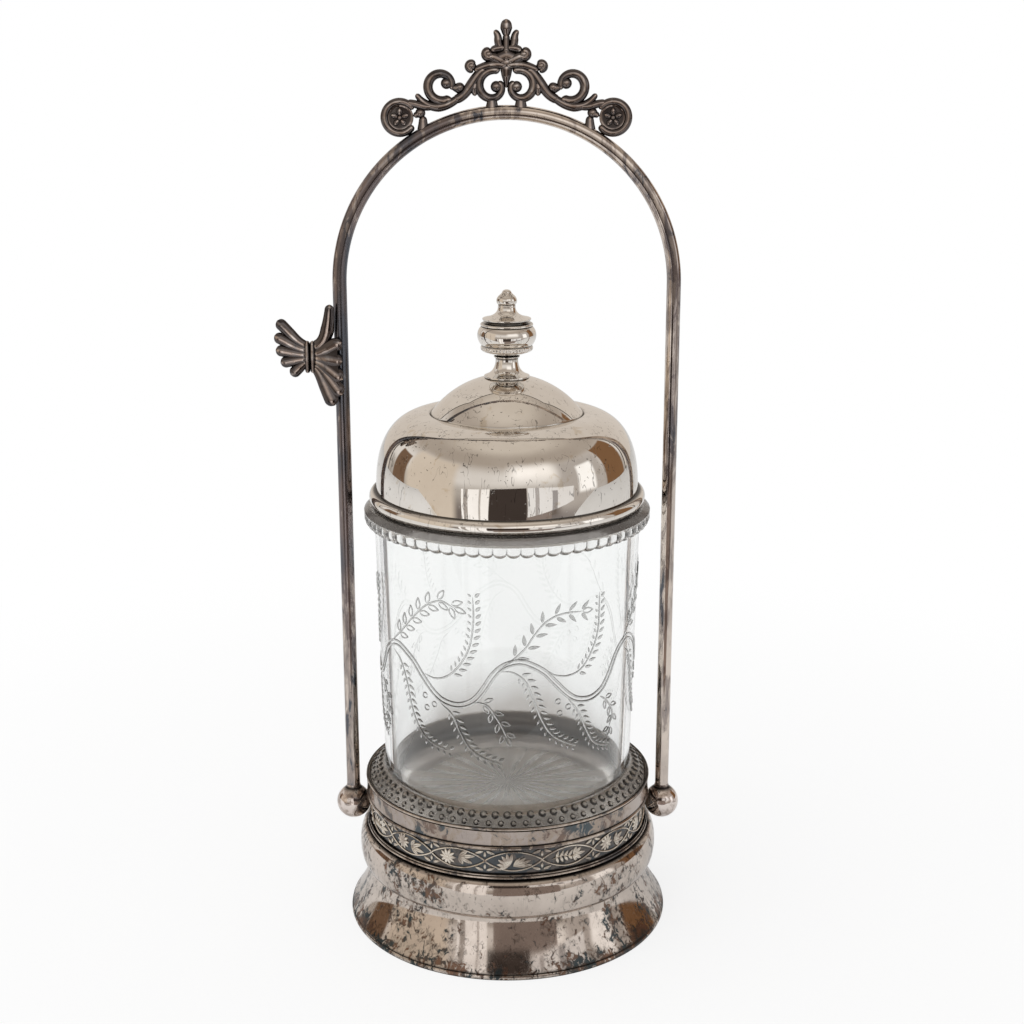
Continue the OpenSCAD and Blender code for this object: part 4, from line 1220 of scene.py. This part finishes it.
foot_rows = np.concatenate([[(BORE + BORE_EASE, 185.25), (7.25, FINIAL_Z + 0.05), (7.3, FINIAL_Z + 0.7)],
                            bezier((7.3, FINIAL_Z + 0.7), (4.4, FINIAL_Z + 1.6), (3.5, FINIAL_Z + 3.6),
                                   (3.6, BULB_Z - 0.9), 24)[1:],
                            [(4.1, BULB_Z - 0.75), (4.2, BULB_Z - 0.35), (3.7, BULB_Z - 0.05)]])
lathe(Heap(), turned_piece(foot_rows, 0.25), FINIAL_TURNS,
      dirt=[(FINIAL_Z, 0.25), (BULB_Z - 1.1, 0.2), (BULB_Z, 0.3)]).build(
    "finial_trumpet", "lid", "silver_plate", lid_silver, ["finial_foot"])

# %% Finial bulb
TEETH, TOOTH_DEPTH, TOOTH_Z = 44, 0.3, 193.9
bulb_rows = np.concatenate([
    [(BORE + BORE_EASE, BULB_Z), (4.0, BULB_Z), (7.9, 193.0), (8.35, 193.5), (8.35, 194.3), (8.0, 194.75),
     (8.2, 194.95)],
    bezier((8.25, 195.0), (9.75, 196.8), (9.8, 199.2), (8.2, 200.75), 26),
    [(7.95, 200.85), (8.4, 201.1), (8.4, 201.6), (8.0, 201.85), (6.6, 201.9), (6.6, 202.36),
     (BORE + BORE_EASE, 202.36)]])
radius, height, angle = around(turned_piece(bulb_rows, 0.18), TEETH * 6)
toothed = np.exp(-((height - TOOTH_Z) / 0.42) ** 4) * (radius > 8)
radius -= TOOTH_DEPTH * toothed * np.abs(np.sin(TEETH / 2 * angle)) ** 3
bulb_shine = dirt_lines(height, [(194.78, 0.16), (200.85, 0.16), (202.1, 0.3), (BULB_Z, 0.3)])
Heap().add(turned_grid(radius, height, angle), bulb_shine, close_rows=True).build(
    "finial_ball", "lid", "silver_plate", lid_silver, ["finial_bulb"])

# %% Finial cap
CAP_LOW, CAP_BORE_TOP, TIP_R = CAP_Z + 0.02, 207.4, 0.02
cap_rows = np.concatenate([
    [(BORE + BORE_EASE, CAP_LOW), (6.6, CAP_LOW), (7.7, CAP_Z + 0.35), (7.8, CAP_Z + 0.9)],
    bezier((7.8, CAP_Z + 0.9), (3.7, CAP_Z + 1.6), (2.7, 205.41), (2.8, 207.3), 24)[1:],
    [(2.7, 207.75)], bezier((3.1, 208.0), (3.75, 209.9), (2.2, 210.6), (1.6, 211.3), 16),
    bezier((1.55, 211.35), (1.5, 212.0), (0.8, TIP_Z - 0.02), (TIP_R, TIP_Z - 0.02), 8)])
cap_outer = evenly(soften(cap_rows, 0.2), FINIAL_STEP)
lathe(Heap(), np.concatenate([cap_outer, [(TIP_R, CAP_BORE_TOP), (BORE, CAP_BORE_TOP), (BORE, CAP_LOW)]]),
      FINIAL_TURNS, dirt=[(207.72, 0.14), (CAP_Z + 0.1, 0.35)]).build(
    "finial_tip", "lid", "silver_plate", lid_silver, ["finial_cap"])

# %% [markdown]
# ## Bail and balls
# The bail is a single round rod bent over a form, with a ball pinned to each end. A bar helper sweeps an oval
# section along a line in the bail's own plane, and the castings use it too: there its shine mark paints a narrow
# highlight along a rib and painted shade on the flanks. The balls are lathe grids about the arms, with a small
# fillet of solder where the rod goes in.

# %% Bars
HALF_ROUND = [0, 20, 40, 58, 70, 80, 90, 100, 110, 122, 140, 160]
RIDGED = np.array(HALF_ROUND + [180 + a for a in HALF_ROUND])
PLAIN_ROUND = np.arange(0, 360, 12)
FLANK_SHINE = 0.13


def bar(heap, path, fat, depth_mm, level=(0.0, 0.0), step=0.3, ends=(True, True), origin=(0, 0), ridge=True):
    """A smooth oval bar along points (x, z), with its thickness at the start, the middle and the end."""
    path = evenly(path, step)
    count = len(path)
    share = np.linspace(0, 1, count)
    thick = np.interp(share, [0, 0.5, 1], fat)
    run_len = np.concatenate([[0], np.cumsum(np.linalg.norm(np.diff(path, axis=0), axis=1))])
    never = np.full(count, np.inf)
    to_end = np.minimum(run_len if ends[0] else never, run_len[-1] - run_len if ends[1] else never)
    rounding = np.sqrt(np.clip(1 - (1 - np.clip(to_end / thick, 0, 1)) ** 2, 0.02, 1))
    side = left_of(path)
    spin = np.radians(RIDGED if ridge else PLAIN_ROUND)
    out, face = np.cos(spin), np.sin(spin)
    depth_here = depth_mm * thick / max(fat) * rounding
    middle = np.interp(share, [0, 1], level)
    spots = path[:, None] + side[:, None] * (thick * rounding)[:, None, None] * out[None, :, None]
    grid = np.stack([spots[..., 0] + origin[0], middle[:, None] + depth_here[:, None] * face[None],
                     spots[..., 1] + origin[1]], -1)
    # Painted light on the castings: painted shade on the flanks and a narrow painted highlight along the rib.
    flank = FLANK_SHINE * np.clip((np.abs(face) - 0.1) / 0.4, 0.4, 1)
    rib = (1 - FLANK_SHINE) * np.clip((np.abs(face) - 0.9) / 0.1, 0, 1) ** 3
    heap.add(grid, flank + rib if ridge else 1.0, caps=True)


def knob(heap, at, r, depth_mm, level=0.0, origin=(0, 0)):
    """A flattened ball on the face of a casting."""
    lat = np.radians(np.linspace(-90, 90, 15))[:, None]
    lon = np.linspace(0, 2 * np.pi, 22, endpoint=False)[None]
    grid = np.stack([origin[0] + at[0] + r * np.cos(lat) * np.cos(lon),
                     level + depth_mm * np.sin(lat) + 0 * lon,
                     origin[1] + at[1] + r * np.cos(lat) * np.sin(lon)], -1)
    # Painted highlight on the knob's front and back, painted shade round its sides.
    top = np.clip((np.abs(np.sin(lat)) - 0.8) / 0.2, 0, 1) ** 2
    heap.add(grid, FLANK_SHINE + (1 - FLANK_SHINE) * top)


# %% Bail rod
ROD_R, ARM_X, PIVOT_Z, ARCH_Z = 2.25, 52.65, 37.3, 214.0
ROD_FOOT_Z, ARM_TOP_Z = 39.75, ARCH_Z - 0.5
rod_path = np.concatenate([[(-ARM_X, ROD_FOOT_Z), (-ARM_X, ARM_TOP_Z)], arc((0, ARCH_Z), ARM_X, ARM_X, 180, 0, 200),
                           [(ARM_X, ARM_TOP_Z), (ARM_X, ROD_FOOT_Z)]])
rod = Heap()
bar(rod, rod_path, (ROD_R,) * 3, ROD_R, step=1.2, ends=(False, False), ridge=False)
rod.build("bail", "handle", "tarnished_rod", rod_metal, ["bail_rod"])

# %% Balls
BALL_R, BALL_FLAT_X, SOLDER_TOP = 5.75, 47.1, 43.6
ball_rows = np.concatenate([arc((0, PIVOT_Z), BALL_R, BALL_R, -90, 60, 50),
                            bezier((2.875, 42.28), (2.6, 42.6), (2.45, 42.9), (2.3, SOLDER_TOP), 8)[1:],
                            [(0.0, SOLDER_TOP)]])
radius, height, angle = around(ball_rows, 72)
for name, node, side in [("bail_ball_left", "left_ball", -1), ("bail_ball_right", "right_ball", 1)]:
    grid = turned_grid(radius, height, angle)
    grid[..., 0] = side * np.maximum(ARM_X + grid[..., 0], BALL_FLAT_X)
    Heap().add(grid, dirt_lines(height, [(42.6, 0.7)])).build(name, "handle", "tarnished_rod", ball_metal, [node])

# %% [markdown]
# ## Crest
# The crest is a pierced casting: heart scrolls in the middle, side scrolls, two rosettes and a tulip bud on top.
# Each scroll is a bar along a spiral. Half of it is drawn and the other half mirrored, and its feet run into the
# rod.

# %% Crest drawing
ARCH_TOP = 268.9
CREST_AT, CREST_DEPTH = (0, ARCH_TOP), 1.5
ROD_OUT = ARM_X + ROD_R
HEART, HEART_EYE = (4.1, 5.4), (3.1, 5.4)
VOLUTE, CURL, SIDE_SCROLL = (5.4, 14.9), (10.6, 11.5), (19.9, 5.6)
ROSETTE_R, ROSETTE_X, ROSETTE_GAP = 4.6, 32.7, 1.2
rx, rz = ROSETTE = (ROSETTE_X, math.sqrt((ROD_OUT + ROSETTE_R + ROSETTE_GAP) ** 2 - ROSETTE_X ** 2) - ROD_OUT)
SCROLLS = [
    # path, thickness at the start, the middle and the end
    (bezier((1.0, 16.9), (3.6, 17.2), (1.3, 20.6), (3.8, 21.8), 20), (1.2, 1.3, 0.8)),
    (bezier((0.2, 16.8), (2.4, 17.0), (3.8, 16.4), (4.8, 15.8), 20), (1.2, 1.3, 1.0)),
    (bezier((0, 12.7), (2.2, 13.0), (3.4, 14.2), (5.2, 14.6), 20), (1.7, 1.8, 1.6)),
    (arc(VOLUTE, 1.1, 0.9, 120, -200, 40), (1.3, 1.3, 1.1)),
    (bezier((0, 11.3), (3.4, 12.8), (7, 11.4), (9.9, 10.1), 24), (1.4, 1.4, 1.1)),
    (arc(CURL, 1.2, 0.9, -120, 160, 30), (1.1, 1.1, 1.0)),
    (np.concatenate([arc(HEART, 5.1, 2.6, 115, -190, 60), [(2.5, 7.0)]]), (1.2, 1.45, 1.0)),
    (bezier((6.4, 10.9), (11, 8), (11, 2.6), (16.2, 1.4), 30), (1.3, 1.6, 1.4)),
    (arc(SIDE_SCROLL, 4.6, 3.2, 228, 560, 60), (1.5, 1.5, 1.1)),
    (bezier((13.6, 3.0), (19, -1.9), (24.4, -1.6), (27.6, 3.3), 30), (1.1, 1.6, 0.8)),
    (arc(ROSETTE, ROSETTE_R + 0.2, ROSETTE_R, 150, -150, 70), (1.1, 1.3, 1.2)),
    (bezier((22.4, -0.4), (25.6, -1.2), (27.0, 0.6), (30.6, 0.6), 20), (1.1, 1.3, 1.1)),
    ([(12.6, 5.4), (14.6, 5.0), (17.0, 5.2)], (0.8, 1.7, 0.5)),
    ([(9.4, 7.2), (9.8, 4.8), (9.6, 2.6)], (0.8, 1.4, 0.7)),
    ([(rx - 4.2, rz + 0.4), (rx - 6.4, rz + 1.4)], (1.0, 1.0, 0.9)),
]
FEET = [(4.4, 3.0, 1.6), (25.6, -3.2, 1.4)]
INTO_ROD = 0.9
KNOBS = [(VOLUTE, 1.5), (CURL, 1.5), (HEART_EYE, 1.75), ((18.3, 6.4), 1.75), ((14.2, 5.2), 1.5),
         ((26.4, -2.4), 1.6)]
MIDDLE_BARS = [
    ([(0, 12.2), (0, 10.4), (0, 8.2), (0, 5.0)], (2.2, 1.5, 0.3)),
    ([(0, 12.6), (0, 17), (0, 21)], (1.3, 1.2, 1.1)),
    ([(0, 19.9), (0, 22.4), (0, 23.8), (0, 25.25)], (0.9, 1.85, 1.5)),
    ([(-7.0, 15.4), (-3.4, 13.3), (0, 14.6), (3.4, 13.3), (7.0, 15.4)], (1.3, 2.2, 1.3)),
]
MIDDLE_KNOBS = [(16.2, 1.1), (12.4, 1.9)]

# %% Crest scrolls
crest = Heap()


def crest_bar(path, fat, **how):
    bar(crest, path, fat, CREST_DEPTH, origin=CREST_AT, **how)


for mirror in (-1, 1):
    flip = np.array([mirror, 1.0])
    for path, fat in SCROLLS:
        crest_bar(np.array(path) * flip, fat)
    for x, z, fat in FEET:
        foot_z = math.sqrt(ROD_OUT ** 2 - x * x) - ROD_OUT - INTO_ROD
        crest_bar(np.array([(x, z), (x, foot_z)]) * flip, (fat * 0.8, fat, fat * 1.3), ends=(True, False))
    for at, r in KNOBS:
        knob(crest, (mirror * at[0], at[1]), r, CREST_DEPTH * 1.02, origin=CREST_AT)
for path, fat in MIDDLE_BARS:
    crest_bar(path, fat)
for z, r in MIDDLE_KNOBS:
    knob(crest, (0, z), r, CREST_DEPTH, origin=CREST_AT)
print("crest strokes:", 2 * len(SCROLLS), "knobs:", 2 * len(KNOBS))

# %% Rosettes
DISH = [(0.0, 0.5), (2.2, 0.52), (3.3, 0.58), (3.9, 0.8), (4.2, 0.5), (4.2, 0.0)]
PETALS, PETAL_FROM, PETAL_TO, PETAL_LEVEL = 5, 0.5, 2.9, 0.55
radius, height, angle = around(evenly(soften(DISH, 0.2), 0.2), 64)
for mirror in (-1, 1):
    at = (mirror * rx, rz)
    for face in (-1, 1):
        level = face * PETAL_LEVEL
        grid = np.stack([at[0] + radius * np.cos(angle), face * height,
                         ARCH_TOP + at[1] + radius * np.sin(angle)], -1)
        crest.add(grid, np.clip((radius - 3.0) / 0.9, 0.12, 0.8))
        for petal in range(PETALS):
            heading = 90 + 360 / PETALS * petal
            line = np.array([beside(at, heading, PETAL_FROM), beside(at, heading, PETAL_TO)])
            bar(crest, line, (0.5, 0.95, 0.8), 0.7, (level, level), origin=CREST_AT)
        knob(crest, at, 0.85, 0.95, level, origin=CREST_AT)
crest.build("crest_scrolls", "handle", "oxidised_casting", casting_metal, ["crest"])

# %% [markdown]
# ## Tongs hook
# Half-way up the left arm a bow of leaves is soldered on. It is a small casting: two sprays of rounded leaves,
# tied in the middle by a pair of bands, with a horn above, so that the tongs can hang in the notch. Leaves are
# bars that swell to a round tip, and a thin plate behind them fills the gaps.

# %% Hook leaves
HOOK = (-ARM_X, 191.1)
TIE_X, TIE_H, TIE_HALF, TIE_STEP, LEAF_DEPTH = -9.9, 5.2, 0.6, 0.85, 1.4
Y_TIE, Y_ROD = -1.0, -3.75
OUT_LEAVES = [(-18.6, 10.3), (-19.3, 6.0), (-18.9, 2.0), (-17.5, -1.6), (-14.7, -4.7)]
IN_LEAVES = [(-1.3, 4.4), (-1.4, -0.8), (-1.1, -5.8), (-1.0, -10.4), (-3.2, -13.5)]
LEAF_R = 1.9
HORN_X = -ROD_R - 0.1 - 1.25
WEB_HALF, WEB_SHINE = 0.5, 0.1
hook = Heap()


def hook_bar(path, fat, y_to, depth_mm=LEAF_DEPTH):
    bar(hook, path, fat, depth_mm, (Y_TIE, y_to), origin=HOOK)


def hook_leaf(root, tip, y_to, wide):
    root, tip = np.array(root, float), np.array(tip, float)
    pull = (tip - root) * (0.45, 0.1)
    end = tip + (tip - root) / np.linalg.norm(tip - root) * LEAF_R
    path = bezier(root, root + pull, root + (tip - root) * 0.72, end, 24)
    hook_bar(path, (wide * 0.65, wide * 0.9, wide), y_to)


def web(root, tips, y_to, reach):
    """A thin plate between the tie and the leaves' tips."""
    tips = through(np.array(tips) * reach + np.array(root) * (1 - reach), 0.6)
    shares = np.linspace(0, 1, 10)[:, None, None]
    spots = np.array(root) * (1 - shares) + tips[None] * shares
    level = np.linspace(Y_TIE, Y_TIE + (y_to - Y_TIE) * reach, 10)[:, None] + 0 * spots[..., 0]
    front, back = (np.stack([spots[..., 0] + HOOK[0], level + off, spots[..., 1] + HOOK[1]], -1)
                   for off in (-WEB_HALF, WEB_HALF))
    # The plate is kept dark, painted shade in the gaps between the leaves.
    hook.add(np.concatenate([front, back[:, ::-1]], 1), WEB_SHINE, caps=True)


# %% Hook
for tip in OUT_LEAVES:
    hook_leaf((TIE_X - TIE_HALF, tip[1] * 0.36), tip, Y_TIE, 1.95)
for tip in IN_LEAVES:
    hook_leaf((TIE_X + TIE_HALF, tip[1] * 0.2), tip, Y_ROD, 2.45)
web((TIE_X - TIE_HALF, 0), OUT_LEAVES, Y_TIE, 0.95)
web((TIE_X + TIE_HALF, 0), IN_LEAVES, Y_ROD, 1.06)
horn = bezier((TIE_X + TIE_HALF, 3.2), (-5.0, 3.6), (HORN_X - 0.1, 7.4), (HORN_X + 0.6, 17.0), 24)
hook_bar(horn, (1.9, 2.2, 1.35), Y_ROD + 0.4)
for x in (TIE_X - TIE_STEP, TIE_X + TIE_STEP):
    hook_bar([(x, -TIE_H), (x, 0), (x, TIE_H)], (0.8, 1, 0.8), Y_TIE, LEAF_DEPTH * 1.4)
hook.build("tongs_hook_leaves", "handle", "oxidised_casting", casting_metal, ["tongs_hook"])

# %% [markdown]
# ## Pieces kept from the solids
# The cup's floor, the lid's liner, the pivots and the finial's stud, washer and nut are right as they are. They
# only get their finish, and mostly show through the glass or when the lid is lifted.

# %% Finishes on the solids
KEPT = {"cup_floor": hidden_silver, "lid_liner": liner_tin, "left_boss": hidden_silver,
        "right_boss": hidden_silver, "left_pin": brass, "right_pin": brass, "finial_stud": brass,
        "finial_washer": brass, "finial_nut": brass}
for node, finish in KEPT.items():
    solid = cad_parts[node]
    solid.data.materials.clear()
    solid.data.materials.append(finish)
print("solids with a new finish:", len(KEPT))
